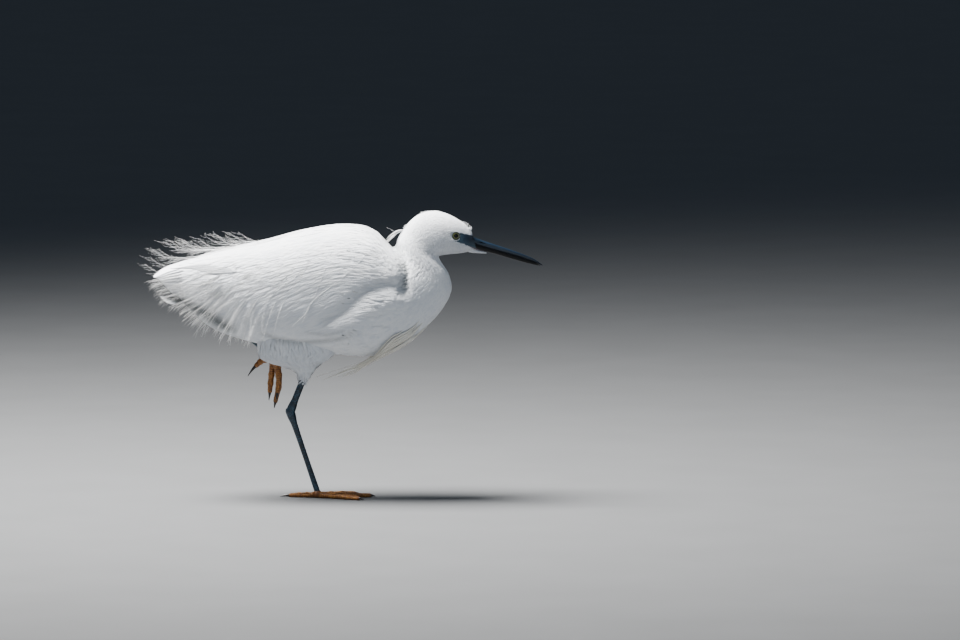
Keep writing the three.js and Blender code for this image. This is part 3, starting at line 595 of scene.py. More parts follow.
def blend_colours(tree, fac, a, b, kind="MIX"):
    """Mixes two colours, each a tuple or an output."""
    node = add_node(tree, "ShaderNodeMix", data_type="RGBA", blend_type=kind)
    slots = [socket for socket in node.inputs if socket.type == "RGBA"]
    for socket, value in ((node.inputs[0], fac), (slots[0], a), (slots[1], b)):
        fill(tree, socket, value)
    return next(socket for socket in node.outputs if socket.type == "RGBA")


def read_value(tree, name):
    return add_node(tree, "ShaderNodeAttribute", attribute_name=name).outputs["Fac"]


def sums(tree, operation, a, b=0.0, clamp=False):
    node = add_node(tree, "ShaderNodeMath", operation=operation, use_clamp=clamp)
    for socket, value in zip(node.inputs, (a, b)):
        fill(tree, socket, value)
    return node.outputs[0]


def bump(tree, shader, height, strength, distance):
    node = add_node(tree, "ShaderNodeBump", {"Height": height}, Strength=strength, Distance=distance)
    tree.links.new(node.outputs["Normal"], shader.inputs["Normal"])


# %% White plumage, with warmer variants for the plumes
FULL_WHITE = (1, 1, 1)
SHADE_GREY = (0.10, 0.115, 0.11)


def mix_colour(a, b, t):
    return tuple(mix(x, y, t) for x, y in zip(a, b))


def plumage_finish(name, root, tip, dim, barbs=46.0, sheen=0.25):
    """Blades paler at the tip, with the dimmer root as painted shade; dim varies them by place and by
    feather; barbs is waves a vane.
    """
    finish, tree, shader = new_finish(name, 0.72, 0.25)
    shader.inputs["Sheen Weight"].default_value = sheen
    shader.inputs["Sheen Roughness"].default_value = 0.5
    along, tone = read_value(tree, "along"), read_value(tree, "tone")
    # The root end of each blade is painted dimmer, as painted shade under the neighbouring feathers.
    blade = colour_steps(tree, along, [(0.0, root), (0.55, mix_colour(root, tip, 0.7)), (1.0, tip)])
    cloud = noise(tree, own_place(tree), 38.0, 4.0)
    colour = blade
    for share, source, steps in (
            (0.5, cloud, [(0.3, dim), (0.62, FULL_WHITE)]),
            (0.8, tone, [(0.0, dim), (0.5, (0.97, 0.975, 0.985)), (1.0, FULL_WHITE)]),
            (1.0, read_value(tree, "shade"), [(0.0, FULL_WHITE), (1.0, SHADE_GREY)])):
        colour = blend_colours(tree, share, colour, colour_steps(tree, source, steps), "MULTIPLY")
    paint(tree, shader, colour)
    vane = add_node(tree, "ShaderNodeUVMap", uv_map="vane").outputs["UV"]
    parts = add_node(tree, "ShaderNodeSeparateXYZ", {"Vector": vane})
    from_shaft = sums(tree, "ABSOLUTE", sums(tree, "SUBTRACT", parts.outputs["X"], 0.5))
    slant = sums(tree, "SUBTRACT", sums(tree, "MULTIPLY", parts.outputs["Y"], barbs),
                 sums(tree, "MULTIPLY", from_shaft, barbs * 0.55))
    ridge = sums(tree, "SINE", sums(tree, "MULTIPLY", slant, FULL_TURN))
    bump(tree, shader, ridge, 0.35, 0.0003)
    return finish


WHITE = (0.90, 0.91, 0.925)
# Dimmer white for the roots: painted shade where feathers lie under their neighbours.
SHADED_ROOT_WHITE = (0.80, 0.82, 0.85)
PALE_SHADE = (0.86, 0.88, 0.915)
plumage = plumage_finish("white_plumage", SHADED_ROOT_WHITE, WHITE, PALE_SHADE)
down = plumage_finish("body_down", SHADED_ROOT_WHITE, WHITE, PALE_SHADE, barbs=20.0, sheen=0.4)
# The plumes' roots are painted dimmer as painted shade; the cream plume's warm tip is its own colour.
plume_white = plumage_finish("loose_plume", (0.86, 0.87, 0.88), (0.93, 0.925, 0.905),
                             (0.88, 0.88, 0.88), 30.0)
plume_cream = plumage_finish("cream_plume", (0.84, 0.84, 0.82), (0.90, 0.86, 0.76),
                             (0.86, 0.84, 0.78), 30.0)
print("finishes so far:", [material.name for material in bpy.data.materials])

# %% [markdown]
# ## Skin
#
# Under the coat lies one skin over body, neck, head and both thighs. It is never seen whole, but it
# shuts every gap between feathers, so it has the colour of down. It is a loft through the coat's
# sections, some millimetres below the coat, with two thigh bodies run into it. The standing thigh
# keeps level sections, so that its fluff ends in an even rim and not in a slant. A voxel remesh
# melts the bodies together without a seam.

# %% The body under the coat
RUMP_END = 1.0
DEPTH_ROWS = [(1.0, 2.6), (9.5, 3.4), (11.5, 2.6), (15, 1.7), (18, 1.3), (23, 0.7)]


def coat_depth(s, v):
    """How deep the skin lies below the coat, in millimetres: deeper under the folded wing."""
    under_wing = 1 - ease((side_angle(v) - 2.3) / 0.4)
    wing_depth = mix(3.2, 0.2, ease((side_angle(v) - 0.9) / 0.5))
    return along_rows(DEPTH_ROWS, s) + wing_depth * under_wing * (1 - ease((s - 9.2) / 0.8))


def turns(count):
    """Even angles once round."""
    return np.arange(count) / count * FULL_TURN


def drawn_in(points, s):
    """Draws points (metres) under the wing tips towards the middle line of the body."""
    middle = mix(coat_mm(s, 0.0 * s), coat_mm(s, 0.0 * s + HALF_TURN), 0.45) * MM
    narrow = 0.65 * (1 - ease((s - RUMP_END) / 1.7))
    return points + (middle - points) * narrow[..., None]


def skin_rings(count=110, around=72):
    s = np.linspace(RUMP_END, FACE_END, count)[:, None]
    v = turns(around)[None, :]
    return drawn_in(on_coat(s, v, -coat_depth(s, v)), s)


print("skin under the wing lies", round(float(coat_depth(6.0, 0.5)), 1), "mm deep")


# %% Limbs: stations x, y, z, half width across, half depth
RIGHT_THIGH = [
    (-24, -21, 203, 11, 28), (-26, -22, 187, 14, 41), (-24, -19, 172, 15, 43.5),
    (-26.5, -17, 163, 14, 37.5), (-23.5, -15, 157.5, 12, 26.5), (-17, -12, 151.5, 8.5, 14),
    (-15.8, -10.6, 145.5, 6.6, 8.4), (-17.2, -9.6, 139, 5.2, 5.6), (-18.6, -9.2, 133, 4.4, 4.6),
]
LEFT_THIGH = [
    (-12, 22, 190, 18, 20), (-36, 19, 185.5, 13.5, 15), (-57, 16, 188.5, 10, 10),
    (-76, 12.8, 195.4, 6, 6), (-87, 11.6, 201, 4.5, 4.6),
]


LEVEL_ABOVE, LEVEL_BLEND = 5.5, 3


class Limb:
    """A tapering limb through stations (x, y, z, half width across, half depth), in millimetres.
    The thick part of a level limb has flat sections, as on an upright thigh."""

    def __init__(self, stations, slimmer=0.0, level=False):
        self.level = level
        stations = np.array(stations, float)
        self.last = len(stations) - 1
        self.line = spline_through(stations[:, :3])
        sizes = np.column_stack([stations[:, 3:5] - slimmer, np.zeros(len(stations))])
        self.sizes = spline_through(sizes)

    def at(self, t, angle, lift=0.0):
        """Points (metres) and outward directions at t along the limb (0 to 1) and an angle round it."""
        t, angle, lift = np.broadcast_arrays(*(np.asarray(x, float) for x in (t, angle, lift)))
        here, step = t * self.last, 0.02
        centre = self.line(here)
        ahead, behind = np.minimum(here + step, self.last), np.maximum(here - step, 0)
        along = unit(self.line(ahead) - self.line(behind))
        size = self.sizes(here)
        if self.level:
            flat = np.clip((size[..., 1:2] - LEVEL_ABOVE) / LEVEL_BLEND, 0, 1)
            along = unit(along * (1 - flat) + np.array([0.0, 0.0, -1.0]) * flat)
        across = unit(np.array([0.0, 1.0, 0.0]) - along * along[..., 1:2])
        third = np.cross(along, across)
        cos, sin = np.cos(angle)[..., None], np.sin(angle)[..., None]
        outward = unit(across * cos * size[..., 1:2] + third * sin * size[..., 0:1])
        point = centre + across * cos * size[..., 0:1] + third * sin * size[..., 1:2]
        return (point + outward * lift[..., None]) * MM, outward


right_limb, left_limb = Limb(RIGHT_THIGH, level=True), Limb(LEFT_THIGH)
print("the right thigh ends at", np.round(right_limb.at(1.0, 0.0)[0], 4))


# %% Closed tubes through rings of points
def closed_tube(rings):
    """Points and faces of a tube through rings of points, closed by a fan at each end."""
    count, around = rings.shape[:2]
    sides, _ = strip_faces(count, around)
    points = np.vstack([rings.reshape(-1, 3), rings[0].mean(axis=0), rings[-1].mean(axis=0)])
    first, last = count * around, count * around + 1
    ends = [(first, (k + 1) % around, k) for k in range(around)]
    base = (count - 1) * around
    ends += [(last, base + k, base + (k + 1) % around) for k in range(around)]
    return points, np.array(sides), np.array(ends)


def limb_rings(limb, rows, around):
    return limb.at(np.linspace(0, 1, rows)[:, None], turns(around)[None, :])[0]


# %% Melt body and thighs into one skin
def outward_faces(piece):
    """Turns every closed shell of a piece so that its faces look outwards."""
    form = bmesh.new()
    form.from_mesh(piece.data)
    bmesh.ops.recalc_face_normals(form, faces=form.faces)
    form.to_mesh(piece.data)
    form.free()


def settle(piece):
    """The evaluated mesh of a piece takes the place of its modifiers."""
    bpy.context.view_layer.update()
    final = bpy.data.meshes.new_from_object(piece.evaluated_get(bpy.context.evaluated_depsgraph_get()))
    final.name = piece.name
    piece.modifiers.clear()
    piece.data = final
    return piece


def stacked(parts):
    """Joins rows of arrays column by column."""
    return [np.concatenate(column) for column in zip(*parts)]


def join_tubes(name, tubes, sharp_above=None):
    """One piece from closed tubes through rings of points."""
    parts, shift = [], 0
    for points, quads, fans in map(closed_tube, tubes):
        parts.append((points, quads + shift, fans + shift))
        shift += len(points)
    points, quads, fans = stacked(parts)
    piece = mesh_of(name, points, [quads, fans], sharp_above)
    outward_faces(piece)
    return piece


skin = join_tubes("skin", [skin_rings(), limb_rings(Limb(RIGHT_THIGH, 2.0, True), 40, 40),
                           limb_rings(Limb(LEFT_THIGH, 1.8), 40, 36)])
melt = skin.modifiers.new("melt", "REMESH")
melt.mode = "VOXEL"
melt.voxel_size = 0.0014
soften = skin.modifiers.new("soften", "SMOOTH")
soften.iterations = 4
settle(skin)
skin.data.shade_smooth()
print("skin has", triangles(skin), "triangles")

# %% [markdown]
# ## The short coat of head, neck and body
#
# The feathers are tiny on the face, a little longer over the crown and hind neck, and long and soft
# on the breast and belly. The bare skin between eye and bill and the opening of the eye stay free,
# so any feather whose path would cross them is left out before the mesh is made.

# %% The bare face and the eye, seen from the side
LORE_OUTLINE = np.array([(158.6, 297.2), (158.6, 298.6), (163.6, 299.8), (164.6, 304.5), (163, 308),
                         (169.5, 305.6), (178.5, 303.6), (184, 301.8), (184, 286.0),
                         (178, 289.2), (174.2, 291.6), (169, 293.9)], float)
EYE_X, EYE_Z, EYE_RADIUS, EYE_RING = 158.7, 304.4, 4.6, 3.7
EYE_STANDS_OUT = 1.1
FACE_HALF = 0.003


def inside_outline(outline, x, z):
    inside = np.zeros(np.shape(x), bool)
    for (x0, z0), (x1, z1) in zip(outline, np.roll(outline, -1, axis=0)):
        crosses = (z0 > z) != (z1 > z)
        reach = x0 + (x1 - x0) * (z - z0) / np.where(z1 == z0, 1e-9, z1 - z0)
        inside ^= crosses & (x < reach)
    return inside


def on_bare_face(paths):
    """Which feathers (count, rows, 3) would lie over bare skin or the eye."""
    x, z = paths[..., 0] / MM, paths[..., 2] / MM
    bare = inside_outline(LORE_OUTLINE, x, z)
    bare |= np.hypot(x - EYE_X, z - EYE_Z) < EYE_RING + 0.9
    return (bare & (np.abs(paths[..., 1]) > FACE_HALF)).any(axis=1)


print("the bare face has", len(LORE_OUTLINE), "corners")


# %% A tract of soft feathers
ALL_ROUND = (-HALF_TURN, HALF_TURN)


def random_from(seed):
    return np.random.default_rng(seed)


def tract(name, seed, count, s_range, v_range, lengths, vary, stray, sink, lift, width, rows=4, side=1,
          share=None, turn=None, shorter=None, bend=0.0, fit=None, thick=0.0001, soft=0.75):
    """Feathers all over a part of the coat. Lengths are rows of (s, millimetres), varied by the factors
    vary; turn and shorter are functions of s and v; lift and width are a start and a growth."""
    s, v = even_roots(count, s_range, v_range, share)
    rng = random_from(seed)
    part = shorter(s, v) if shorter else 1.0
    length = along_rows(lengths, s) * (part * rng.uniform(*vary, count))
    heading = (turn(s, v) if turn else 0.0) + rng.normal(0, stray, count)
    height = lift[0] + lift[1] * rng.random(count)
    paths, ups = lay(s, side * v, length, heading, rows, sink, height, bend)
    if fit:
        paths = fit(paths, s[:, None])
    keep = ~on_bare_face(paths)
    widths = blade_widths(length * width[1] + width[0], rows, LANCE)
    return feather_piece(name, paths[keep], ups[keep], widths[keep], coat_map(s, side * v)[keep],
                         rng.random(keep.sum()), thick=thick, crown=0.06, soft=soft)


# %% Head and neck
def chin_share(s, v):
    return 1 - 0.35 * ease((side_angle(v) - 2.2) / 0.6)


def cheek_turn(s, v):
    return 0.25 * ease((s - 19) / 3) * (1 - ease((side_angle(v) - 1.6) / 0.5))


head_coat = tract("plumage_head", 11, 7000, (14.6, FACE_END - 0.02), ALL_ROUND,
                  [(14.6, 10.0), (16.5, 8.0), (19, 6.0), (21, 4.2), (23, 2.6)], (0.8, 1.2), 0.13, 0.8,
                  (0.2, 0.25), (0.9, 0.36), turn=cheek_turn, shorter=chin_share, soft=0.7)
neck_coat = tract("plumage_neck", 12, 6800, (9.3, 15.3), ALL_ROUND,
                  [(9.3, 19.0), (12, 14.0), (15.3, 9.5)], (0.8, 1.2), 0.12, 1.3, (0.3, 0.35), (1.2, 0.25))
wear([head_coat, neck_coat], plumage)

# %% [markdown]
# ## Breast, belly and flanks
#
# Below the wing the feathers are loose and soft. They are longer, their tips stand a little off the
# body, and towards the legs they turn downwards. The wing's lower edge is a row of numbers that says
# at which angle the wing ends at each section, so the belly coat starts just above it.

# %% Wing limits and belly coat
UPPER_EDGE = [(0, 0.1), (3.2, 0.1), (6.2, 0.65), (11, 0.65)]
LOWER_EDGE = [(2, 2.2), (2.5, 2.0), (3, 1.85), (3.5, 1.9), (4, 2.1), (4.6, 2.4), (5.2, 2.55), (7, 2.5),
              (8.6, 2.25), (9.6, 2.05), (11, 1.95)]
FRONT_EDGE = [(0.6, 9.5), (1.2, 9.9), (1.6, 10.1), (2.0, 9.7), (2.6, 8.9)]


def below_wing(s, v):
    a = side_angle(v)
    below = a > along_rows(LOWER_EDGE, s) - 0.35
    return below | (s > along_rows(FRONT_EDGE, a) - 0.3)


belly_coat = tract("plumage_belly", 13, 5200, (1.6, 10.2), ALL_ROUND,
                   [(1.6, 16.0), (3, 24.0), (5, 26.0), (8, 26.0), (10.2, 20.0)], (0.8, 1.2), 0.16, 2.2,
                   (0.4, 0.7), (2.4, 0.22), share=below_wing, fit=drawn_in, thick=0.00012)
wear([belly_coat], down)

# %% [markdown]
# ## Folded wings
#
# A folded wing is a roof. Small coverts cover the bend, larger ones follow in tiers, then the
# secondaries and tertials, and the primaries come out last at the tip. Within a tier the upper
# feather lies over the lower one, so every vane leans a little: its upper edge goes under its
# neighbour and its lower edge lies on top.

# %% Tiers of the wing
# Coverts: s of the row, angles of its first and last, count, length, width, turn, lift
COVERT_TIERS = [
    (9.75, 0.85, 1.95, 10, 22, 10.0, 0.10, 0.5), (9.35, 0.75, 2.05, 12, 23, 10.5, 0.10, 0.5),
    (8.95, 0.72, 2.15, 13, 24, 11.0, 0.12, 0.5), (8.55, 0.70, 2.20, 14, 25, 11.5, 0.12, 0.4),
    (8.15, 0.70, 2.28, 14, 27, 12.0, 0.14, 0.4), (7.75, 0.68, 2.34, 14, 29, 12.5, 0.14, 0.4),
    (7.35, 0.68, 2.40, 14, 31, 13.0, 0.14, 0.3), (6.90, 0.70, 2.44, 14, 34, 13.5, 0.14, 0.3),
    (6.40, 0.72, 2.46, 13, 40, 14.0, 0.14, 0.2), (5.85, 0.76, 2.48, 12, 46, 14.5, 0.12, 0.1),
    (5.25, 0.80, 2.46, 11, 54, 15.0, 0.10, 0.0), (4.60, 0.80, 2.42, 10, 60, 15.5, 0.06, -0.1),
]
# Long feathers: quill of the first and last, tip of the first and last, count, width, lifts of tips
LONG_TIERS = [
    ((4.6, 1.35), (4.4, 2.30), (1.9, 1.50), (2.5, 2.30), 8, 19.0, -0.2, -0.6),
    ((5.6, 0.95), (4.4, 0.62), (2.6, 0.85), (1.2, 0.35), 9, 18.0, 0.2, -0.3),
    ((3.7, 0.50), (3.5, 1.80), (0.10, 0.45), (1.0, 2.05), 11, 16.0, -0.4, -1.8),
]
ROUND_END = [(0, 0.35), (0.3, 0.8), (0.6, 1.0), (0.85, 0.95), (0.94, 0.72), (1, 0.3)]


print("coverts:", sum(tier[3] for tier in COVERT_TIERS), "long:", sum(tier[4] for tier in LONG_TIERS))


# %% Feathers in tiers
def leaning_points(paths, ups, side, lean):
    """Tilts the outward directions so that the upper edge sinks; side is 1 left and -1 right."""
    along = unit(np.gradient(paths, axis=1))
    across = unit(np.cross(along, ups))
    return unit(ups - across * side * lean)


def covert_rows(side, rng):
    parts = []
    for row, (s, a0, a1, count, length, width, turn, lift) in enumerate(COVERT_TIERS):
        a = np.linspace(a0, a1, count) + (0.5 if row % 2 else 0.0) * (a1 - a0) / count
        a = a + rng.normal(0, 0.012, count)
        place = np.full(count, s) + rng.normal(0, 0.05, count)
        grown = length * rng.uniform(0.92, 1.08, count)
        paths, ups = lay(place, side * a, grown, turn + rng.normal(0, 0.03, count), rows=7,
                         sink=2.4, lift=lift + rng.uniform(-0.15, 0.25, count))
        parts.append((paths, ups, blade_widths(np.full(count, width), 7), coat_map(place, side * a)))
    return parts


def long_rows(side, rng, rows=11):
    parts = []
    for quill0, quill1, tip0, tip1, count, width, lift0, lift1 in LONG_TIERS:
        k = np.linspace(0, 1, count)[:, None]
        t = np.linspace(0, 1, rows)[None, :]
        s = mix(mix(quill0[0], quill1[0], k), mix(tip0[0], tip1[0], k), t)
        a = mix(mix(quill0[1], quill1[1], k), mix(tip0[1], tip1[1], k), t)
        rise = mix(-2.6, mix(lift0, lift1, k), ease(t * 1.5)) + 0.1 * rng.normal(size=(count, 1)) * t
        v = side * a
        parts.append((on_coat(s, v, rise), coat_frame(s, v)[0],
                      blade_widths(np.full(count, width), rows, ROUND_END), coat_map(s[:, 0], v[:, 0])))
    return parts


# %% Both wings
def wing_piece(name, side, seed):
    """Coverts and long feathers need different numbers of rows, so each kind is a mesh of its own."""
    rng = random_from(seed)
    made = []
    for kind, parts in (("coverts", covert_rows(side, rng)), ("long", long_rows(side, rng))):
        paths, ups, widths, patches = stacked(parts)
        ups = leaning_points(paths, ups, side, 0.06)
        tones = rng.random(len(paths))
        made.append(feather_piece(f"{name}_{kind}", paths, ups, widths, patches, tones, LARGE_SECTION,
                                  crown=0.04, thick=0.00016, sharp_above=50, soft=0.6))
    return made


for name, side, seed in (("wing_feathers_left", 1, 21), ("wing_feathers_right", -1, 22)):
    wear(wing_piece(name, side, seed), plumage)

# %% [markdown]
# ## Mantle
#
# Between the wings lie the mantle and the scapulars, long soft feathers that smooth the step from
# back to wing. They are laid like the body coat but longer, and the outer ones turn down over the
# upper edge of the wing.

# %% Mantle and scapulars
def near_back(s, v):
    return side_angle(v) < along_rows(UPPER_EDGE, s) + 0.22


def mantle_turn(s, v):
    return 0.1 * ease(np.abs(v) / 0.8)


mantle_coat = tract("plumage_mantle", 23, 2600, (3.4, 9.75), (-1.0, 1.0),
                    [(3.4, 30.0), (6, 42.0), (8.5, 30.0), (9.75, 18.0)], (0.8, 1.15), 0.06, 2.6,
                    (0.5, 0.7), (1.8, 0.11), rows=6, share=near_back, turn=mantle_turn, thick=0.00012)
wear([mantle_coat], plumage)


# %% The cloak of silky feathers over each wing
def over_wing(s, v):
    a = side_angle(v)
    inside = (a > along_rows(UPPER_EDGE, s) - 0.1) & (a < along_rows(LOWER_EDGE, s) - 0.3)
    return inside & (s < along_rows(FRONT_EDGE, a) - 0.1)


def cloak_turn(s, v):
    return mix(0.12, 0.62, ease((v - 0.6) / 0.9)) * ease((9.2 - s) / 1.6)


for name, side, seed in (("cloak_left", 1, 24), ("cloak_right", -1, 25)):
    cloak = tract(name, seed, 3500, (2.6, 10.0), (0.3, 2.4),
                  [(2.6, 30.0), (5, 46.0), (8, 44.0), (9.2, 24.0), (10, 16.0)], (0.75, 1.15), 0.07, 1.8,
                  (0.55, 0.6), (2.4, 0.04), rows=6, side=side, share=over_wing, turn=cloak_turn,
                  bend=-0.2)
    wear([cloak], plumage)

# %% [markdown]
# ## Loose plumes of the breeding coat
#
# The glory of this bird is a cloak of loose plumes. Each has a thin shaft and free barbs that don't
# hook together, so it works like a fine brush. Most start on the mantle, lie back and down over the
# wings and let their barbs hang under the wing as a fringe. The middle ones sweep past the rump and
# curl up. A plume is made as a smooth path for the shaft and a few dozen barbs that leave it at a
# narrow angle, first on one side, then on the other.

# %% Smooth shafts from control points
SPINE_SECTION = [(-0.9, -0.5), (0, 1.0), (0.9, -0.5)]
SHAFT_SAMPLES = 60


def smooth_path(points, samples):
    """An even path through each row of control points (count, points, 3)."""
    t = np.linspace(0, 1, samples) * (points.shape[1] - 1)
    return np.stack([spline_through(row)(t) for row in points])


def sample_along(values, t):
    """Reads (count, samples, 3) values at positions t (count, many)."""
    place = np.clip(t, 0, 1) * (values.shape[1] - 1)
    low = np.minimum(place.astype(int), values.shape[1] - 2)
    part = (place - low)[..., None]
    rows = np.arange(len(values))[:, None]
    return values[rows, low] * (1 - part) + values[rows, low + 1] * part


# %% Barbs along the shafts
def barb_paths(shafts, ups, rng, many, length, first, spread, stray, droop=0.0, above=1.0, rows=4):
    """Barbs (count * many, rows, 3) in metres. Length is in millimetres; spread is the angle at which
    a barb leaves the shaft, in radians, and droop is its fall at the tip as a share of its length.
    Barbs on the side that points upward are shorter by the share above."""
    count = len(shafts)
    t = first + (0.995 - first) * (np.arange(many) + rng.random((count, many)) * 0.9) / many
    root = sample_along(shafts, t)
    along = unit(sample_along(np.gradient(shafts, axis=1), t))
    up = sample_along(ups, t)
    across = unit(np.cross(along, up))
    up = np.cross(across, along)
    side = np.where(np.arange(many) % 2 == 0, 1.0, -1.0)[None, :, None]
    grown = length * MM * rng.uniform(0.65, 1.1, (count, many)) * mix(1.0, 0.75, ease((t - 0.6) / 0.4))
    grown = grown * np.where((across * side)[..., 2] > 0, above, 1.0)
    angle = spread * rng.uniform(0.6, 1.25, (count, many)) * mix(1.0, 0.75, t)
    lift = stray * rng.normal(size=(count, many))
    pieces = []
    for step in np.linspace(0, 1, rows):
        bend = angle * (1 - 0.45 * step)
        reach = grown * step
        point = (root + along * (reach * np.cos(bend))[..., None]
                 + across * side * (reach * np.sin(bend))[..., None]
                 + up * (reach * step * lift)[..., None])
        point[..., 2] -= droop * grown * step ** 2
        pieces.append(point)
    paths = np.stack(pieces, axis=2).reshape(count * many, rows, 3)
    return paths, np.repeat(up.reshape(count * many, 1, 3), rows, axis=1)


# %% Meshes of shafts and barbs
def bodies_along(name, shafts, ups, widths, patches, tones, rows, shape, section=SMALL_SECTION, **make):
    """Feathers of a few rows each along finely sampled shafts."""
    t = np.tile(np.linspace(0, 1, rows), (len(shafts), 1))
    return feather_piece(name, sample_along(shafts, t), sample_along(ups, t),
                         blade_widths(widths, rows, shape), patches, tones, section, **make)


def plume_pieces(name, shafts, ups, patches, rng, many, length, shaft_width, barb_width, **lay_out):
    """Two meshes for a group of plumes: shafts and barbs."""
    tones = rng.random(len(shafts))
    make = {"section": SPINE_SECTION, "crown": 0.8, "shaded": 0.3}
    shaft_piece = bodies_along(f"{name}_shafts", shafts, ups, np.full(len(shafts), shaft_width), patches,
                               tones, 22, [(0, 1.0), (0.5, 0.8), (1, 0.25)], thick=0.00004, **make)
    paths, barb_ups = barb_paths(shafts, ups, rng, many, length, **lay_out)
    widths = np.full(len(paths), barb_width)
    thin = blade_widths(widths, paths.shape[1], [(0, 1.0), (0.6, 0.8), (1, 0.3)])
    barb_piece = feather_piece(f"{name}_barbs", paths, barb_ups, thin, np.repeat(patches, many, axis=0),
                               np.repeat(tones, many), thick=0.00003, **make)
    return [shaft_piece, barb_piece]


# %% Plumes that fall over the wings
# Quill [s, angle], where it crosses the wing [s, angle], and the tip x, y, z in millimetres
DRAPED_PLUMES = [
    ((5.4, 0.38), (2.6, 1.00), (-199, 12, 249)), ((5.5, 0.40), (2.8, 1.15), (-191, 18, 241)),
    ((5.6, 0.42), (3.0, 1.30), (-180, 24, 228)), ((5.7, 0.42), (3.2, 1.45), (-163, 28, 217)),
    ((5.8, 0.42), (3.4, 1.55), (-150, 32, 205)), ((6.0, 0.44), (3.6, 1.65), (-137, 35, 199)),
    ((6.2, 0.44), (4.0, 1.75), (-114, 41, 187)), ((6.6, 0.44), (4.6, 1.85), (-84, 47, 184)),
    ((7.2, 0.50), (5.5, 1.80), (-44, 53, 194)), ((7.9, 0.60), (6.6, 1.60), (-8, 56, 212)),
]


def between_rows(rows, q):
    """Values of a table at q from 0 (first row) to 1 (last row)."""
    table = np.array([np.concatenate([np.ravel(part) for part in row]) for row in rows], float)
    place = np.clip(q, 0, 1) * (len(table) - 1)
    low = np.minimum(place.astype(int), len(table) - 2)
    part = (place - low)[:, None]
    return table[low] * (1 - part) + table[low + 1] * part


def draped_shafts(side, count, rng, part, reach):
    """Shafts from a part of the table; reach is how near they come to the table's tips."""
    q = mix(part[0], part[1], (np.arange(count) + rng.random(count)) / count)
    quill_s, quill_a, over_s, over_a, x, y, z = between_rows(DRAPED_PLUMES, q).T
    quill_s = quill_s + rng.normal(0, 0.35, count)
    quill_a = np.abs(quill_a + rng.normal(0, 0.14, count)) + 0.05
    over_s, over_a = over_s + rng.normal(0, 0.15, count), over_a + rng.normal(0, 0.10, count)
    reach = rng.uniform(*reach, count)
    controls = [on_coat(mix(quill_s, over_s, t), side * mix(quill_a, over_a, t), rise)
                for t, rise in ((0.0, -2.5), (0.2, 0.5), (0.55, 1.0), (1.0, 1.4))]
    tip = np.stack([x, side * y, z], axis=1) * MM + rng.normal(0, 0.002, (count, 3))
    controls.append(mix(controls[-1], tip, reach[:, None]))
    shafts = smooth_path(np.stack(controls, axis=1), SHAFT_SAMPLES)
    outward = np.zeros_like(shafts)
    outward[..., 1] = side
    outward[..., 2] = 0.25 + 0.9 * (1 - np.linspace(0, 1, SHAFT_SAMPLES)) ** 2
    return shafts, unit(outward), coat_map(quill_s, side * quill_a)


for name, side, seed in (("draped_plumes_left", 1, 31), ("draped_plumes_right", -1, 32)):
    rng = random_from(seed)
    short = draped_shafts(side, 46, rng, part=(0.0, 0.85), reach=(0.84, 1.0))
    wear(plume_pieces(name, *short, rng, many=30, length=12.0, shaft_width=0.4, barb_width=0.18,
                      first=0.62, spread=0.5, droop=0.3, stray=0.02), plume_white)
    long = draped_shafts(side, 16, rng, part=(0.25, 1.0), reach=(0.9, 1.0))
    wear(plume_pieces(f"long_{name}", *long, rng, many=12, length=8.0, shaft_width=0.9,
                      barb_width=0.2, first=0.85, spread=0.15, stray=0.02), plume_white)

# %% Plumes that curl up behind the back
CURLED_PLUMES = [
    ((7.6, 0.10), (6.3, 0.12), (-84, 6, 309)), ((7.2, 0.20), (5.8, 0.25), (-106, 8, 307)),
    ((6.8, 0.02), (5.2, 0.05), (-123, 1, 307)), ((6.5, -0.20), (4.9, -0.3), (-134, -8, 301)),
    ((6.2, 0.30), (4.5, 0.35), (-152, 8, 301)), ((5.9, -0.10), (4.2, -0.15), (-160, -6, 300)),
    ((5.6, 0.15), (3.9, 0.30), (-172, 6, 299)), ((5.3, -0.20), (3.5, -0.4), (-184, -6, 293)),
    ((5.1, 0.10), (3.1, 0.2), (-193, 3, 285)), ((4.8, 0.00), (2.7, 0.00), (-202, 2, 269)),
]


def curled_shafts(count, rng):
    q = (np.arange(count) + rng.random(count)) / count
    quill_s, quill_v, back_s, back_v, x, y, z = between_rows(CURLED_PLUMES, q).T
    quill_v = rng.uniform(-0.45, 0.45, count)
    back_v = quill_v * 1.3 + rng.normal(0, 0.05, count)
    tip = np.stack([x + rng.normal(0, 3, count), 0.4 * y + 20 * np.sin(back_v) + rng.normal(0, 2, count),
                    z - rng.uniform(0, 5.0, count)], axis=1) * MM
    controls = [on_coat(mix(quill_s, back_s, t), mix(quill_v, back_v, t), rise)
                for t, rise in ((0.0, -2.5), (0.5, 0.8), (1.0, 1.6))]
    controls += [tip + step * MM for step in np.array([[38, 0, -10.5], [15, 0, -9.0], [0, 0, 0]])]
    shafts = smooth_path(np.stack(controls, axis=1), SHAFT_SAMPLES)
    roll = rng.uniform(1.1, 1.5, count) * np.where(rng.random(count) < 0.5, -1, 1)
    outward = np.zeros_like(shafts)
    outward[..., 2] = np.cos(roll)[:, None]
    outward[..., 1] = np.sin(roll)[:, None]
    return shafts, unit(outward), coat_map(quill_s, quill_v)


rng = random_from(33)
wear(plume_pieces("curled_plumes", *curled_shafts(20, rng), rng, many=22, length=17.0, shaft_width=0.5,
                  barb_width=0.17, first=0.35, spread=0.95, droop=-0.02, stray=0.04, above=0.3),
     plume_white)

# %% [markdown]
# ## Breast plumes, nape plumes and small tufts
#
# At the base of the neck grow long narrow plumes that hang back under the body. They are closed
# lances, not loose, and a little cream. Two thinner ones fall from the nape. On the forehead short
# feathers stand up in small tufts where the crown meets the bill.

# %% Breast plumes: quill [s, angle] and tip x, y, z in millimetres
BREAST_PLUMES = [
    ((9.8, 2.30), (54, 31, 156)), ((10.1, 2.42), (42, 27, 148)), ((9.9, 2.55), (30, 22, 141)),
    ((10.1, 2.75), (18, 15, 140)), ((10.2, 3.00), (-4, 7, 139)),
]


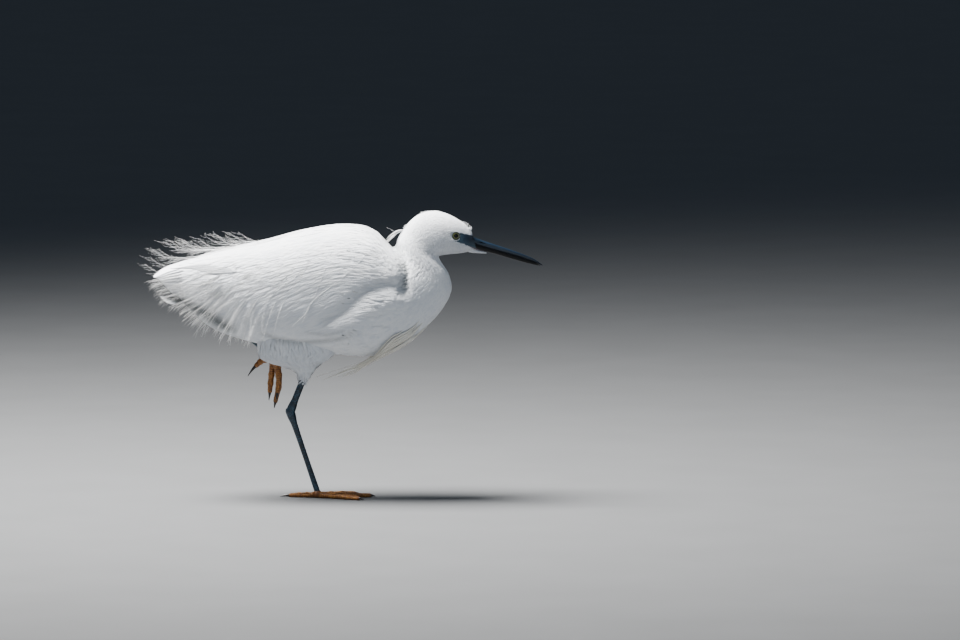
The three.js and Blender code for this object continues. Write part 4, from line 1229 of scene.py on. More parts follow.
def breast_plumes(count=17, seed=41):
    parts = []
    rng = random_from(seed)
    for side in (1, -1):
        q = (np.arange(count) + rng.random(count)) / count
        quill_s, quill_a, x, y, z = between_rows(BREAST_PLUMES, q).T
        quill_s = quill_s + rng.normal(0, 0.25, count)
        quill_a = quill_a + rng.normal(0, 0.04, count)
        reach = rng.uniform(0.78, 1.08, count)
        controls = [on_coat(mix(quill_s, 8.7, t), side * quill_a, rise)
                    for t, rise in ((0.0, -1.0), (0.4, 1.6), (1.0, 3.0))]
        tip = np.stack([x + (6 if side > 0 else 0), side * y, z], axis=1) * MM
        tip += rng.normal(0, 0.0018, (count, 3))
        controls.append(mix(controls[-1], tip, reach[:, None]))
        shafts = smooth_path(np.stack(controls, axis=1), 40)
        outward = np.repeat(coat_frame(9.4, side * quill_a)[0][:, None], 40, axis=1)
        parts.append((shafts, outward, rng.uniform(2.8, 4.0, count),
                      coat_map(quill_s, side * quill_a), rng.random(count)))
    return bodies_along("breast_plumes", *stacked(parts), 14, LANCE, crown=0.12, thick=0.00018)


wear([breast_plumes()], plume_cream)

# %% Nape plumes
NAPE_PLUMES = [
    [(104, 1, 309), (94, 3, 307.5), (86, 5, 301.5), (79.5, 6, 295.5)],
    [(103, -2, 310), (93, -3.5, 308.8), (85.5, -4, 303.2), (79, -4, 296)],
]
STRAY_HAIR = [(100, -2, 309), (93, -3, 306.5), (86, -4, 309.5), (79, -5, 313.5)]


def nape_plumes(seed=42):
    rng = random_from(seed)
    controls, widths = [], []
    for line in NAPE_PLUMES:
        for k in range(7):
            drift = np.linspace(0, 1, 4)[:, None] * rng.normal(0, 1.3, (1, 3))
            controls.append(np.array(line, float) + drift + rng.normal(0, 0.25, (4, 3)))
            widths.append(rng.uniform(1.2, 2.2))
    controls.append(np.array(STRAY_HAIR, float))
    widths.append(0.6)
    shafts = smooth_path(np.array(controls) * MM, 30)
    outward = np.zeros_like(shafts)
    outward[..., 2], outward[..., 1] = 1.0, -0.4
    patches = coat_map(np.full(len(shafts), 16.0), rng.normal(0, 0.05, len(shafts)))
    return bodies_along("nape_plumes", shafts, unit(outward), np.array(widths), patches,
                        rng.random(len(shafts)), 14, LANCE, crown=0.15, thick=0.00012)


wear([nape_plumes()], plume_white)


# %% Tufts of the forehead, crown and chin
# s, angle, how many, length, how steeply they stand
TUFTS = [
    (22.6, 0.2, 7, 4.4, 1.0), (22.6, -0.2, 7, 4.4, 1.0), (22.0, 0.0, 6, 4.2, 0.8),
    (21.7, -0.4, 5, 3.6, 0.6), (21.7, 0.4, 5, 3.6, 0.6), (22.4, -0.6, 5, 3.2, 0.7),
    (22.4, 0.6, 5, 3.2, 0.7), (18.4, 0.1, 7, 4.5, 0.35), (16.6, -0.1, 7, 5.0, 0.3),
    (21.6, 2.95, 7, 4.0, 0.4), (20.0, -3.05, 8, 5.0, 0.4), (18.3, 3.0, 8, 5.5, 0.3),
]


def tuft_piece(seed=43):
    rng = random_from(seed)
    s, v, length, rise = stacked([
        (at_s + rng.normal(0, 0.10, count), at_v + rng.normal(0, 0.10, count),
         size * rng.uniform(0.75, 1.15, count), stand * rng.uniform(0.7, 1.1, count))
        for at_s, at_v, count, size, stand in TUFTS])
    root = on_coat(s, v, -0.6)
    outward, headward, _ = coat_frame(s, v)
    lean = unit(-headward * (1.1 - rise)[:, None] + outward * rise[:, None] + [0, 0, 0.8] * rise[:, None])
    t = np.linspace(0, 1, 5)[None, :, None]
    curve = (length * 0.14 * MM)[:, None, None] * t ** 2
    paths = root[:, None] + lean[:, None] * (length * MM)[:, None, None] * t - headward[:, None] * curve
    ups = np.repeat(outward[:, None], 5, axis=1)
    widths = blade_widths(length * 0.12 + 0.4, 5, LANCE)
    return feather_piece("head_tufts", paths, ups, widths, coat_map(s, v), rng.random(len(s)),
                         crown=0.1, thick=0.0001, soft=0.3)


wear([tuft_piece()], plumage)

# %% [markdown]
# ## Thighs and tail
#
# The thighs wear soft down-like feathers that point towards the ankle. Round the lower rim of the
# thick part the tips hang free. The tail is short and square, twelve feathers shut under the wings.

# %% Thigh coats
def thigh_coat(name, limb, count, length_rows, seed):
    rng = random_from(seed)
    # More roots where the limb is thick: the girth sets the share of each part of its length
    t_line = np.linspace(0.0, 0.985, 200)
    girth = np.abs(limb.sizes(t_line * limb.last)[:, :2]).sum(axis=1)
    stride = np.linalg.norm(np.gradient(limb.line(t_line * limb.last), axis=0), axis=1)
    share = np.cumsum(girth * stride)
    first, second = even_pairs(count)
    t = np.interp(first, share / share[-1], t_line)
    angle = second * FULL_TURN
    length = along_rows(length_rows, t) * rng.uniform(0.75, 1.2, count)
    whole = np.linalg.norm(np.diff(limb.line(np.linspace(0, 1, 80) * limb.last), axis=0), axis=1).sum()
    rows = np.linspace(0, 1, 5)
    along = t[:, None] + rows * (length / whole)[:, None]
    sway = angle[:, None] + rows * rng.normal(0, 0.12, count)[:, None]
    rise = mix(-1.4, (0.3 + 2.0 * rng.random(count) ** 2)[:, None], ease(rows * 1.3))
    paths, ups = limb.at(np.minimum(along, 1.0), sway, rise)
    # Past the end of the limb a feather runs on straight
    over = np.maximum(along - 1.0, 0) * whole * MM
    end_way = unit(limb.line(np.array([limb.last]))[0] - limb.line(np.array([limb.last - 0.05]))[0])
    paths = paths + over[..., None] * end_way
    patches = np.stack([t, angle / FULL_TURN], axis=-1) * 0.98 + 0.01
    widths = blade_widths(length * 0.16 + 1.4, 5, LANCE)
    return feather_piece(name, paths, ups, widths, patches, rng.random(count), thick=0.0001,
                         crown=0.06, soft=0.7)


right_lengths = [(0, 16.0), (0.5, 13.0), (0.75, 8.0), (0.9, 4.0), (1, 2.0)]
left_lengths = [(0, 15.0), (0.6, 12.0), (1, 7.0)]
wear([thigh_coat("plumage_thigh_right", right_limb, 2300, right_lengths, 51),
      thigh_coat("plumage_thigh_left", left_limb, 1400, left_lengths, 52)], down)

# %% Tail feathers
TAIL_ROOT = 2.6
SQUARE_END = [(0, 0.5), (0.4, 0.9), (0.85, 1.0), (0.96, 0.8), (1, 0.35)]


def tail_piece(count=12, seed=53):
    rng = random_from(seed)
    x, _, z = mix(coat_mm(TAIL_ROOT, 0.0), coat_mm(TAIL_ROOT, HALF_TURN), 0.5)
    places = np.arange(count) - (count - 1) / 2
    controls = [[(x + 8, k * 0.8, z - 1), (x - 5, k * 1.1, z - 2 - fan * 0.7),
                 (x - 24, k * 1.8, z - 10.5 - fan * 0.85),
                 (x - 48 + fan * 1.5, k * 2.3, z - 10 - fan * 0.9)]
                for k, fan in zip(places, abs(places))]
    shafts = smooth_path(np.array(controls) * MM, 40)
    lean = np.zeros_like(shafts)
    lean[..., 2] = 1
    lean[..., 1] = (0.1 * places)[:, None]
    patches = coat_map(np.full(count, 2.7), np.linspace(-0.4, 0.4, count))
    return bodies_along("tail_feathers", shafts, unit(lean), np.full(count, 11.0), patches,
                        rng.random(count), 9, SQUARE_END, LARGE_SECTION, crown=0.05, thick=0.00018,
                        sharp_above=50)


wear([tail_piece()], plumage)

# %% [markdown]
# ## Eyes, eyelids and lores
#
# The eye is a ball with a clear bulge in front. One number for each point, the distance from the
# eye's axis, drives its colours: black pupil, thin yellow-green iris, dark rim. The lids are a folded
# ring round it. The lores are the bare skin between eye and bill: a patch that follows the coat
# inside an outline, folded along the line of sight to the bill. Below the gape they turn rosy grey.

# %% Eye glass, and how to find a place on the coat
def sway(tree, cloud, size):
    """Noise about zero, as wide as size."""
    return sums(tree, "MULTIPLY", sums(tree, "SUBTRACT", cloud, 0.5), size)


def dark_glass(name, steps, roughness, coat):
    finish, tree, shader = new_finish(name, roughness, 0.25)
    shader.inputs["Coat Weight"].default_value = coat
    shader.inputs["Coat Roughness"].default_value = 0.04
    ring = read_value(tree, "from_axis")
    wobble = sway(tree, noise(tree, own_place(tree), 2600.0, 3.0), 0.05)
    paint(tree, shader, colour_steps(tree, sums(tree, "ADD", ring, wobble), steps))
    return finish


eye_finish = dark_glass("eye_glass", [
    (0.0, (0.002, 0.002, 0.002)), (0.50, (0.003, 0.003, 0.003)), (0.56, (0.09, 0.10, 0.03)),
    (0.61, (0.55, 0.55, 0.24)), (0.66, (0.40, 0.42, 0.15)), (0.73, (0.03, 0.034, 0.014)),
    (1.0, (0.008, 0.008, 0.007)),
], 0.15, 0.1)


def place_on_coat(x, z, side):
    """Section and angle of the coat's point with this x and z (millimetres) on one side."""
    x, z = np.broadcast_arrays(np.asarray(x, float), np.asarray(z, float))
    s, v = np.full(x.shape, 20.0), np.full(x.shape, 1.5)
    for _ in range(40):
        here = coat_mm(s, v)
        per_s = (coat_mm(s + 0.01, v) - coat_mm(s - 0.01, v)) / 0.02
        per_v = (coat_mm(s, v + 0.01) - coat_mm(s, v - 0.01)) / 0.02
        dx, dz = x - here[..., 0], z - here[..., 2]
        det = per_s[..., 0] * per_v[..., 2] - per_s[..., 2] * per_v[..., 0]
        s = np.clip(s + 0.7 * (dx * per_v[..., 2] - dz * per_v[..., 0]) / det, 15, FACE_END - 0.02)
        v = np.clip(v + 0.7 * (per_s[..., 0] * dz - per_s[..., 2] * dx) / det, 0.2, 2.95)
    return s, v * side


# %% Eyeballs
def eye_axes(side):
    s, v = place_on_coat(EYE_X, EYE_Z, side)
    outward = unit(coat_frame(s, v)[0])
    ahead = unit(np.cross(outward, [0.0, 0.0, 1.0])) * side
    return on_coat(s, v, 0.0), outward, ahead, np.cross(outward, ahead) * side


def rings_about(centre, outward, ahead, above, radii, heights, around):
    """Rings of points about an axis; radii and heights are in metres."""
    angle = turns(around)
    circle = np.cos(angle)[:, None] * ahead + np.sin(angle)[:, None] * above
    return centre + radii[:, None, None] * circle[None] + heights[:, None, None] * outward


def eyeball(side, name):
    place, outward, ahead, above = eye_axes(side)
    centre = place + outward * (EYE_STANDS_OUT - EYE_RADIUS) * MM
    tilt = np.linspace(0.02, HALF_TURN - 0.02, 40)
    size = EYE_RADIUS * MM * (1 + 0.05 * np.exp(-(tilt / 0.45) ** 2))
    rings = rings_about(centre, outward, ahead, above, size * np.sin(tilt), size * np.cos(tilt), 48)
    piece = join_tubes(name, [rings])
    ring = np.where(tilt > HALF_TURN / 2, 1.0, np.sin(tilt))
    add_value(piece, "from_axis", np.append(np.repeat(ring, 48), [0.0, 1.0]))
    return piece


SIDES = (("left", 1), ("right", -1))
eyes = {side: eyeball(sign, f"eyeball_{side}") for side, sign in SIDES}
print("eyeballs:", [triangles(piece) for piece in eyes.values()])


# %% Eyelids: a folded ring, thicker above
def eyelid(side, name, long_way=64, short_way=12):
    place, outward, ahead, above = eye_axes(side)
    turn, tube = turns(long_way), turns(short_way)
    upper = 0.5 + 0.5 * np.sin(turn)
    fold = 0.07 * np.sin(turn * 19) + 0.05 * np.sin(turn * 31 + 1)
    middle = EYE_RING + 0.45 + 0.35 * np.cos(turn) ** 2 * (np.cos(turn) > 0)
    thick = 0.5 + 0.22 * upper
    across = middle[:, None] + thick[:, None] * np.cos(tube)[None, :]
    rise = (0.12 + 0.25 * upper)[:, None] + (0.62 * thick + fold)[:, None] * np.sin(tube)[None, :]
    circle = np.cos(turn)[:, None, None] * ahead + np.sin(turn)[:, None, None] * above
    points = place + (circle * across[..., None] + outward * rise[..., None]) * MM
    k, j = np.meshgrid(np.arange(long_way), np.arange(short_way), indexing="ij")
    quads = [(k + a) % long_way * short_way + (j + b) % short_way
             for a, b in ((0, 0), (1, 0), (1, 1), (0, 1))]
    piece = mesh_of(name, points, [np.stack(quads, axis=-1).reshape(-1, 4)])
    outward_faces(piece)
    return piece


eyelids = {side: eyelid(sign, f"eyelid_{side}") for side, sign in SIDES}
print("eyelids:", [triangles(piece) for piece in eyelids.values()])


# %% Lores: a folded patch of bare skin
ROSY_GREY = (0.13, 0.105, 0.125)
GAPE_X, GAPE_Z, GAPE_SLOPE, ROSY_END = 174.2, 292.3, 0.377, 195
LORE_MIDDLE = (171.5, 299.2)
LORE_EDGE_ROOM = 0.15


def below_gape(x, z):
    """1 on the pinkish skin under the gape, 0 elsewhere."""
    under = np.clip((GAPE_Z - GAPE_SLOPE * (x - GAPE_X) - z) / 0.8, 0, 1)
    return under * np.clip((ROSY_END - x) / 4, 0, 1)


def bill_base(z):
    """x of the line where the face meets the bill."""
    return 177.5 + (306 - z) * 5.3 / 19.7


def lore(side, name, rings=22, rays=110):
    """A patch in rings round its middle; the last two rings turn in under its edge."""
    middle = np.array(LORE_MIDDLE)
    outline = np.vstack([LORE_OUTLINE, LORE_OUTLINE[:1]])
    step = np.append(0, np.cumsum(np.linalg.norm(np.diff(outline, axis=0), axis=1)))
    where = np.arange(rays) / rays * step[-1]
    border = np.column_stack([np.interp(where, step, outline[:, k]) for k in (0, 1)])
    out = np.concatenate([np.linspace(0.06, 1.04, rings), [1.04, 0.5]])
    height = np.concatenate([0.25 - 0.5 * np.linspace(0, 1, rings) ** 6, [-1.6, -1.9]])
    flat = middle + out[:, None, None] * (border - middle)[None]
    x, z = flat[..., 0], flat[..., 1]
    x = np.minimum(x, bill_base(z) - LORE_EDGE_ROOM)
    clear = np.maximum(np.hypot(x - EYE_X, z - EYE_Z), 1e-6)
    push = np.maximum(EYE_RING + 0.3 - clear, 0) / clear
    x, z = x + (x - EYE_X) * push, z + (z - EYE_Z) * push
    slope = z + 0.36 * x
    folds = 0.10 * np.sin(slope * 4.1 + 0.7 * np.sin(x * 0.9)) + 0.06 * np.sin(slope * 7.7 + x * 0.5)
    gape = -0.55 * np.exp(-((z - (295.6 - 0.22 * (x - 166))) / 0.45) ** 2)
    s, v = place_on_coat(x, z, side)
    top = (np.arange(len(out)) < rings)[:, None]
    piece = join_tubes(name, [on_coat(s, v, height[:, None] + np.where(top, folds + gape, 0))])
    ahead = np.clip((x - EYE_X) / 22, 0, 1)
    low = np.clip((303 - z - 0.2 * (x - EYE_X)) / 8, 0, 1)
    for key, values, end in (("ahead", ahead, 0.5), ("low", low, 0.5), ("rosy", below_gape(x, z), 0.0)):
        add_value(piece, key, np.append(values.ravel(), [end, end]))
    return piece


lores = {side: lore(sign, f"bare_lore_{side}") for side, sign in SIDES}
print("lores:", [triangles(piece) for piece in lores.values()])


# %% Finishes of lids and lores
def skin_finish(name, steps_ahead, low_colour):
    finish, tree, shader = new_finish(name, 0.5, 0.45)
    place = own_place(tree)
    wander = sums(tree, "ADD", read_value(tree, "ahead"), sway(tree, noise(tree, place, 420.0, 5.0), 0.5))
    along = colour_steps(tree, wander, steps_ahead)
    low = sums(tree, "MULTIPLY", read_value(tree, "low"), 0.55)
    colour = blend_colours(tree, low, along, low_colour)
    paint(tree, shader, blend_colours(tree, read_value(tree, "rosy"), colour, ROSY_GREY))
    grain = add_node(tree, "ShaderNodeTexVoronoi", {"Vector": place}, Scale=1500.0)
    bump(tree, shader, grain.outputs["Distance"], 0.35, 0.0002)
    return finish


def lid_skin(dark, light):
    finish, tree, shader = new_finish("eyelid_skin", 0.42, 0.5)
    cloud = noise(tree, own_place(tree), 500.0, 4.0)
    paint(tree, shader, colour_steps(tree, cloud, [(0.35, dark), (0.7, light)]))
    bump(tree, shader, cloud, 0.3, 0.0002)
    return finish


lore_finish = skin_finish("lore_skin", [
    (0.0, (0.055, 0.105, 0.135)), (0.25, (0.04, 0.085, 0.125)), (0.5, (0.012, 0.03, 0.058)),
    (0.75, (0.004, 0.010, 0.022)), (1.0, (0.003, 0.007, 0.014)),
], (0.06, 0.12, 0.165))
lid_finish = lid_skin((0.012, 0.016, 0.012), (0.045, 0.055, 0.03))
print("face finishes:", lore_finish.name, "and", lid_finish.name)

# %% [markdown]
# ## The bill
#
# Each half of the bill is a loft: a smooth line for its ridge, one for its edge and one for its
# half width. The section is half an oval that sharpens towards the ridge. A groove runs from the
# nostril towards the tip, and the nostril is a slit sunk into the groove and painted black as
# painted shade. The horn is black, with a painted blue sheen towards the ridge; it is glossy where
# it is dark and duller and pinkish grey under the base.

# %% Lines of the two halves: ridge [x, z], edge [x, z] and half width
UPPER_BILL = [
    ((173.5, 303.8), (176.5, 295.5), 6.1),
    ((179.4, 301.6), (182.2, 293.0), 5.8), ((187, 298.6), (188.6, 291.2), 5.2),
    ((203.5, 293.0), (204.5, 286.6), 4.3), ((221, 287.2), (222, 281.5), 3.5),
    ((238, 281.0), (239, 276.0), 2.5), ((250, 275.5), (250.3, 272.1), 1.5),
    ((258, 269.6), (258, 268.8), 0.5),
]
LOWER_BILL = [
    ((178.8, 287.9), (177.3, 294.0), 6.0),
    ((183.3, 287.0), (182.3, 292.6), 5.6), ((189.5, 285.6), (188.6, 290.9), 4.9),
    ((205, 281.6), (204.5, 286.3), 4.0), ((222, 276.7), (222, 281.2), 3.2),
    ((239, 272.0), (239, 275.7), 2.3), ((249, 269.7), (250.3, 271.8), 1.3),
    ((255, 268.5), (255, 269.3), 0.5),
]


print("bill lines of", len(UPPER_BILL), "and", len(LOWER_BILL), "stations")


# %% A half of the bill
BILL_START, BILL_LENGTH = 182, 75
GROOVE_START, GROOVE_END = 181, 226
NOSTRIL_X, NOSTRIL_Z, NOSTRIL_SLOPE = 189, 295.5, 0.3
NOSTRIL_HALF_LENGTH, NOSTRIL_HALF_HEIGHT, NOSTRIL_DEPTH = 3.0, 0.62, 1.3


def nostril(x, z):
    """1 inside the slit, 0 elsewhere."""
    low = (z - (NOSTRIL_Z - NOSTRIL_SLOPE * (x - 188.5))) / NOSTRIL_HALF_HEIGHT
    return np.exp(-(((x - NOSTRIL_X) / NOSTRIL_HALF_LENGTH) ** 2 + low ** 2) ** 2)


def bill_half(name, stations, rows=120, around=44, groove=0.0):
    """A loft; points past the outer arc close its inner side. Groove is a depth in millimetres."""
    table = np.array([[*ridge, *edge, half] for ridge, edge, half in stations])
    line = spline_through(table[:, :3])
    rest = spline_through(np.column_stack([table[:, 3:], 0 * table[:, 0]]))
    t = np.linspace(0, 1, rows) ** 0.9 * (len(stations) - 1)
    ridge, edge = line(t)[:, :2], np.column_stack([line(t)[:, 2], rest(t)[:, 0]])
    half = rest(t)[:, 1]
    top = int(around * 0.8)
    angle = np.linspace(0, HALF_TURN, top)
    up = np.append(np.sin(angle) ** 0.8, np.full(around - top, 0.0))
    side = np.append(np.cos(angle), np.linspace(-1, 1, around - top + 2)[1:-1])
    inner = np.append(np.zeros(top, bool), np.ones(around - top, bool))
    x = mix(edge[:, None, 0], ridge[:, None, 0], up[None])
    z = mix(edge[:, None, 1], ridge[:, None, 1], up[None])
    y = half[:, None] * side[None]
    reach = np.clip((x - BILL_START) / BILL_LENGTH, 0, 1)
    dent = groove * np.exp(-((up[None] - 0.5) / 0.16) ** 2)
    dent = dent * ease((x - GROOVE_START) / 6) * ease((GROOVE_END - x) / 26)
    slit = np.where(inner[None] | (groove == 0), 0, nostril(x, z))
    flakes = 0.03 * np.sin(x * 1.7 + z * 2.3) * np.sin(x * 0.61 - z * 1.9)
    sunk = dent + NOSTRIL_DEPTH * slit + flakes * (1 - reach)
    y = y - np.sign(y) * np.where(inner[None], 0, sunk)
    towards = np.sign(ridge[:, 1] - edge[:, 1])[:, None]
    z = z + np.where(inner[None], 0.4 * (1 - side[None] ** 2) * towards, 0)
    piece = join_tubes(name, [np.stack([x, y, z], axis=-1) * MM], sharp_above=50)
    height = np.broadcast_to(up[None], x.shape)
    rosy = below_gape(x, z)
    # height sets where the horn finish paints its blue sheen, and slit where it paints the nostril black
    # as painted shade.
    for key, values, end in (("reach", reach, 1.0), ("height", height, 0.0), ("slit", slit, 0.0),
                             ("rosy", rosy, 0.0)):
        add_value(piece, key, np.append(values.ravel(), [0.0, end]))
    return piece


upper_bill = bill_half("bill_upper_horn", UPPER_BILL, groove=0.42)
lower_bill = bill_half("bill_lower_horn", LOWER_BILL)
print("bill:", triangles(upper_bill), "and", triangles(lower_bill), "triangles")


# %% Horn: colour by place, streaks along the bill
DEEP_BLACK = (0.001, 0.001, 0.002)


def horn_finish(name, base, middle, tip, roughness, rosy=False):
    """Colours from base to tip; the low side is black, the upper side gets a painted blue sheen, the slit
    is painted black as shade, and a rosy base shows the gape's colour.
    """
    finish, tree, shader = new_finish(name, roughness, 0.2)
    shader.inputs["Coat Weight"].default_value = 0.08
    shader.inputs["Coat Roughness"].default_value = 0.22
    lie = add_node(tree, "ShaderNodeMapping", {"Vector": own_place(tree)}, Rotation=(0, 0.36, 0),
                   Scale=(60, 500, 700))
    streak = noise(tree, lie.outputs["Vector"], 1.0, 5.0)
    along = colour_steps(tree, read_value(tree, "reach"), [(0.0, base), (0.25, middle), (1.0, tip)])
    # The height mask paints a blue sheen towards the ridge and leaves the low side black: the blue is a
    # painted sky reflection, and the streaks wobble its edge.
    side = sums(tree, "ADD", read_value(tree, "height"), sway(tree, streak, 0.7), clamp=True)
    colour = blend_colours(tree, side, DEEP_BLACK, along)
    # The nostril's slit is painted black as painted shade of its opening.
    colour = blend_colours(tree, read_value(tree, "slit"), colour, DEEP_BLACK)
    if rosy:
        colour = blend_colours(tree, read_value(tree, "rosy"), colour, ROSY_GREY)
    paint(tree, shader, colour)
    bump(tree, shader, streak, 0.4, 0.0003)
    return finish


upper_horn = horn_finish("upper_horn", (0.005, 0.012, 0.022), (0.004, 0.011, 0.022),
                         (0.003, 0.006, 0.011), 0.33)
lower_horn = horn_finish("lower_horn", (0.002, 0.003, 0.004), (0.002, 0.002, 0.003),
                         (0.002, 0.003, 0.004), 0.45, rosy=True)
print("horn:", upper_horn.name, "and", lower_horn.name)

# %% The feathered wedge of the chin
CHIN_WEDGE = np.array([(172, 0, 287.6, 3.6), (181, 0, 285.4, 2.0), (187, 0, 284.3, 1.2),
                       (193, 0, 283.5, 0.5)])


def chin_feathers(count=420):
    line = spline_through(CHIN_WEDGE[:, :3])
    size = spline_through(np.column_stack([CHIN_WEDGE[:, 3], np.zeros((4, 2))]))
    rng = random_from(77)
    first, second = even_pairs(count)
    start = 3 * (0.02 + 0.9 * first)
    angle = FULL_TURN * second
    t = np.linspace(0, 1, 4)
    at = np.clip(start[:, None] + 0.62 * t[None] * rng.uniform(0.7, 1.2, count)[:, None], 0, 3)
    outward = np.stack([0 * angle, np.cos(angle), np.sin(angle)], axis=-1)
    radius = size(at)[..., 0] + mix(-0.5, 0.25, t)[None]
    paths = line(at) + outward[:, None] * radius[..., None]
    paths[..., 0] += (t * 0.8)[None]
    ups = np.broadcast_to(outward[:, None], paths.shape)
    patches = coat_map(np.full(count, 22.5), angle)
    return feather_piece("plumage_chin", paths * MM, ups, blade_widths(np.full(count, 1.3), 4, LANCE),
                         patches, rng.random(count), thick=0.00012, crown=0.08, soft=0.5)


wear([chin_feathers()], plumage)

# %% [markdown]
# ## Legs, feet and claws
#
# Legs and toes are smooth tubes through the same stations as the plain solids. Their scales repeat
# along a surface, and that is work for Geometry Nodes: each tube gives a cloud of seed points that
# know where outwards and along are and how large their scale is. One tree puts a small domed scale
# on every seed, turns it, sizes it and makes all of them real. Large scales run down the front of a
# leg and over each toe, and small ones cover the rest.

# %% One scale, and the tree that lays it on seeds
def scale_shape():
    """A domed plate, one unit wide and long, with a raised far edge."""
    rings = [(1.0, -0.35), (0.98, 0.02), (0.72, 0.2), (0.35, 0.27)]
    angle = turns(8)
    square = (np.abs(np.cos(angle)) ** 3 + np.abs(np.sin(angle)) ** 3) ** (-1 / 3)
    points = np.array([[(0.5 * r * q * math.cos(a), 0.5 * r * q * math.sin(a), h)
                        for a, q in zip(angle, square)] for r, h in rings])
    return join_tubes("one_scale", [points], sharp_above=40)


def scale_tree():
    tree = bpy.data.node_groups.new("lay_scales", "GeometryNodeTree")
    sockets = (("Geometry", "Geometry"), ("Scale Shape", "Object"), ("Body", "Object"),
               ("Thickness", "Float"), ("Finish", "Material"))
    for name, kind in sockets:
        tree.interface.new_socket(name, in_out="INPUT", socket_type=f"NodeSocket{kind}")
    tree.interface.new_socket("Geometry", in_out="OUTPUT", socket_type="NodeSocketGeometry")
    given = add_node(tree, "NodeGroupInput").outputs

    def read(name, kind="FLOAT"):
        node = add_node(tree, "GeometryNodeInputNamedAttribute", data_type=kind)
        node.inputs["Name"].default_value = name
        return node.outputs["Attribute"]

    outwards = add_node(tree, "FunctionNodeAlignRotationToVector",
                        {"Vector": read("outward", "FLOAT_VECTOR")}, axis="Z")
    along = add_node(tree, "FunctionNodeAlignRotationToVector", {
        "Rotation": outwards.outputs["Rotation"], "Vector": read("along", "FLOAT_VECTOR"),
    }, axis="Y", pivot_axis="Z")
    shape = add_node(tree, "GeometryNodeObjectInfo", {"Object": given["Scale Shape"]})
    size = add_node(tree, "ShaderNodeCombineXYZ", {
        "X": read("wide"), "Y": read("long"), "Z": given["Thickness"]})
    lay = add_node(tree, "GeometryNodeInstanceOnPoints", {
        "Points": given["Geometry"], "Instance": shape.outputs["Geometry"],
        "Rotation": along.outputs["Rotation"], "Scale": size.outputs["Vector"]})
    real = add_node(tree, "GeometryNodeRealizeInstances", {"Geometry": lay.outputs["Instances"]})
    body = add_node(tree, "GeometryNodeObjectInfo", {"Object": given["Body"]})
    whole = add_node(tree, "GeometryNodeJoinGeometry", {"Geometry": body.outputs["Geometry"]})
    tree.links.new(real.outputs["Geometry"], whole.inputs["Geometry"])
    finish = add_node(tree, "GeometryNodeSetMaterial", {
        "Geometry": whole.outputs["Geometry"], "Material": given["Finish"]})
    add_node(tree, "NodeGroupOutput", {"Geometry": finish.outputs["Geometry"]})
    return tree


def input_named(tree, name):
    """The identifier of a tree's input, which a modifier needs to set it."""
    return next(item.identifier for item in tree.interface.items_tree
                if item.name == name and item.in_out == "INPUT")


one_scale = scale_shape()
lay_scales = scale_tree()
print("scale shape:", triangles(one_scale), "triangles;", len(lay_scales.nodes), "nodes in the tree")


# %% Smooth tubes for shanks, shins and toes
STANDING = {"feathered": (-17.5, -9.5, 137), "ankle": (-32, -5, 100), "foot": (-1, 0, 7)}
LIFTED = {"feathered": (-84, 12, 197), "ankle": (-122, 8, 219.5), "foot": (-50, 10, 161)}


# Places along a leg bone, 0 to 1, with half widths across and in depth
SHANK_ROWS = [(-0.25, 3.3, 3.3), (0, 3.5, 3.6), (0.3, 3.5, 3.7), (0.6, 3.7, 3.8), (0.85, 4.5, 4.9),
              (0.93, 4.6, 5.0)]
SHIN_ROWS = [(-0.05, 3, 3.4), (-0.01, 4.7, 5.1), (0.05, 4.5, 4.9), (0.14, 3.1, 3.6), (0.35, 2.7, 3.1),
             (0.6, 2.6, 3.0), (0.8, 2.7, 3.1), (0.93, 3.1, 3.2), (1, 3.4, 3.2)]
TOE_KNOTS = [(0, 1.25), (0.12, 1.12), (0.3, 0.98), (0.37, 1.14), (0.45, 0.95), (0.6, 0.98),
             (0.66, 1.06), (0.76, 0.84), (0.9, 0.8), (1, 0.7)]


def bone_limb(start, end, rows):
    start, end = np.array(start, float), np.array(end, float)
    return Limb([(*mix(start, end, t), wide, deep) for t, wide, deep in rows])


def toe_limb(places, radius=3.0):
    line = spline_through(np.array(places, float))
    last = len(places) - 1
    return Limb([(*line(np.array(t * last)), radius * size * 0.94, radius * size * 0.98)
                 for t, size in TOE_KNOTS])


STANDING_TOES = {"inner": (30, 50), "middle": (2, 62), "outer": (-28, 55), "hind": (172, 33)}
LIFTED_TOES = {
    "inner": [(-52, 14, 156), (-54.5, 16, 136), (-56, 16, 120)],
    "middle": [(-49, 10.5, 155), (-45, 10, 134), (-49.5, 9, 109.5)],
    "outer": [(-47, 7, 156), (-45, 4, 137), (-47, 1.5, 121)],
    "hind": [(-53, 10, 159.5), (-64, 10, 158), (-72.5, 10, 151)],
}


def standing_places(heading, length):
    turn = math.radians(heading)
    fx, fy, _ = STANDING["foot"]
    return [(fx + math.cos(turn) * length * t, fy + math.sin(turn) * length * t, z)
            for t, z in ((0.0, 3.4), (0.5, 2.9), (1.0, 2.35))]


right_toes = {key: toe_limb(standing_places(*value)) for key, value in STANDING_TOES.items()}
left_toes = {key: toe_limb(places, 3.4) for key, places in LIFTED_TOES.items()}
print("toes:", list(right_toes), "and", list(left_toes))


# %% Seeds for the scales
PLATE_ARC = 1.7
LAPS_ACROSS, LAPS_ALONG, PLATE_LAPS = 1.06, 1.16, 1.12


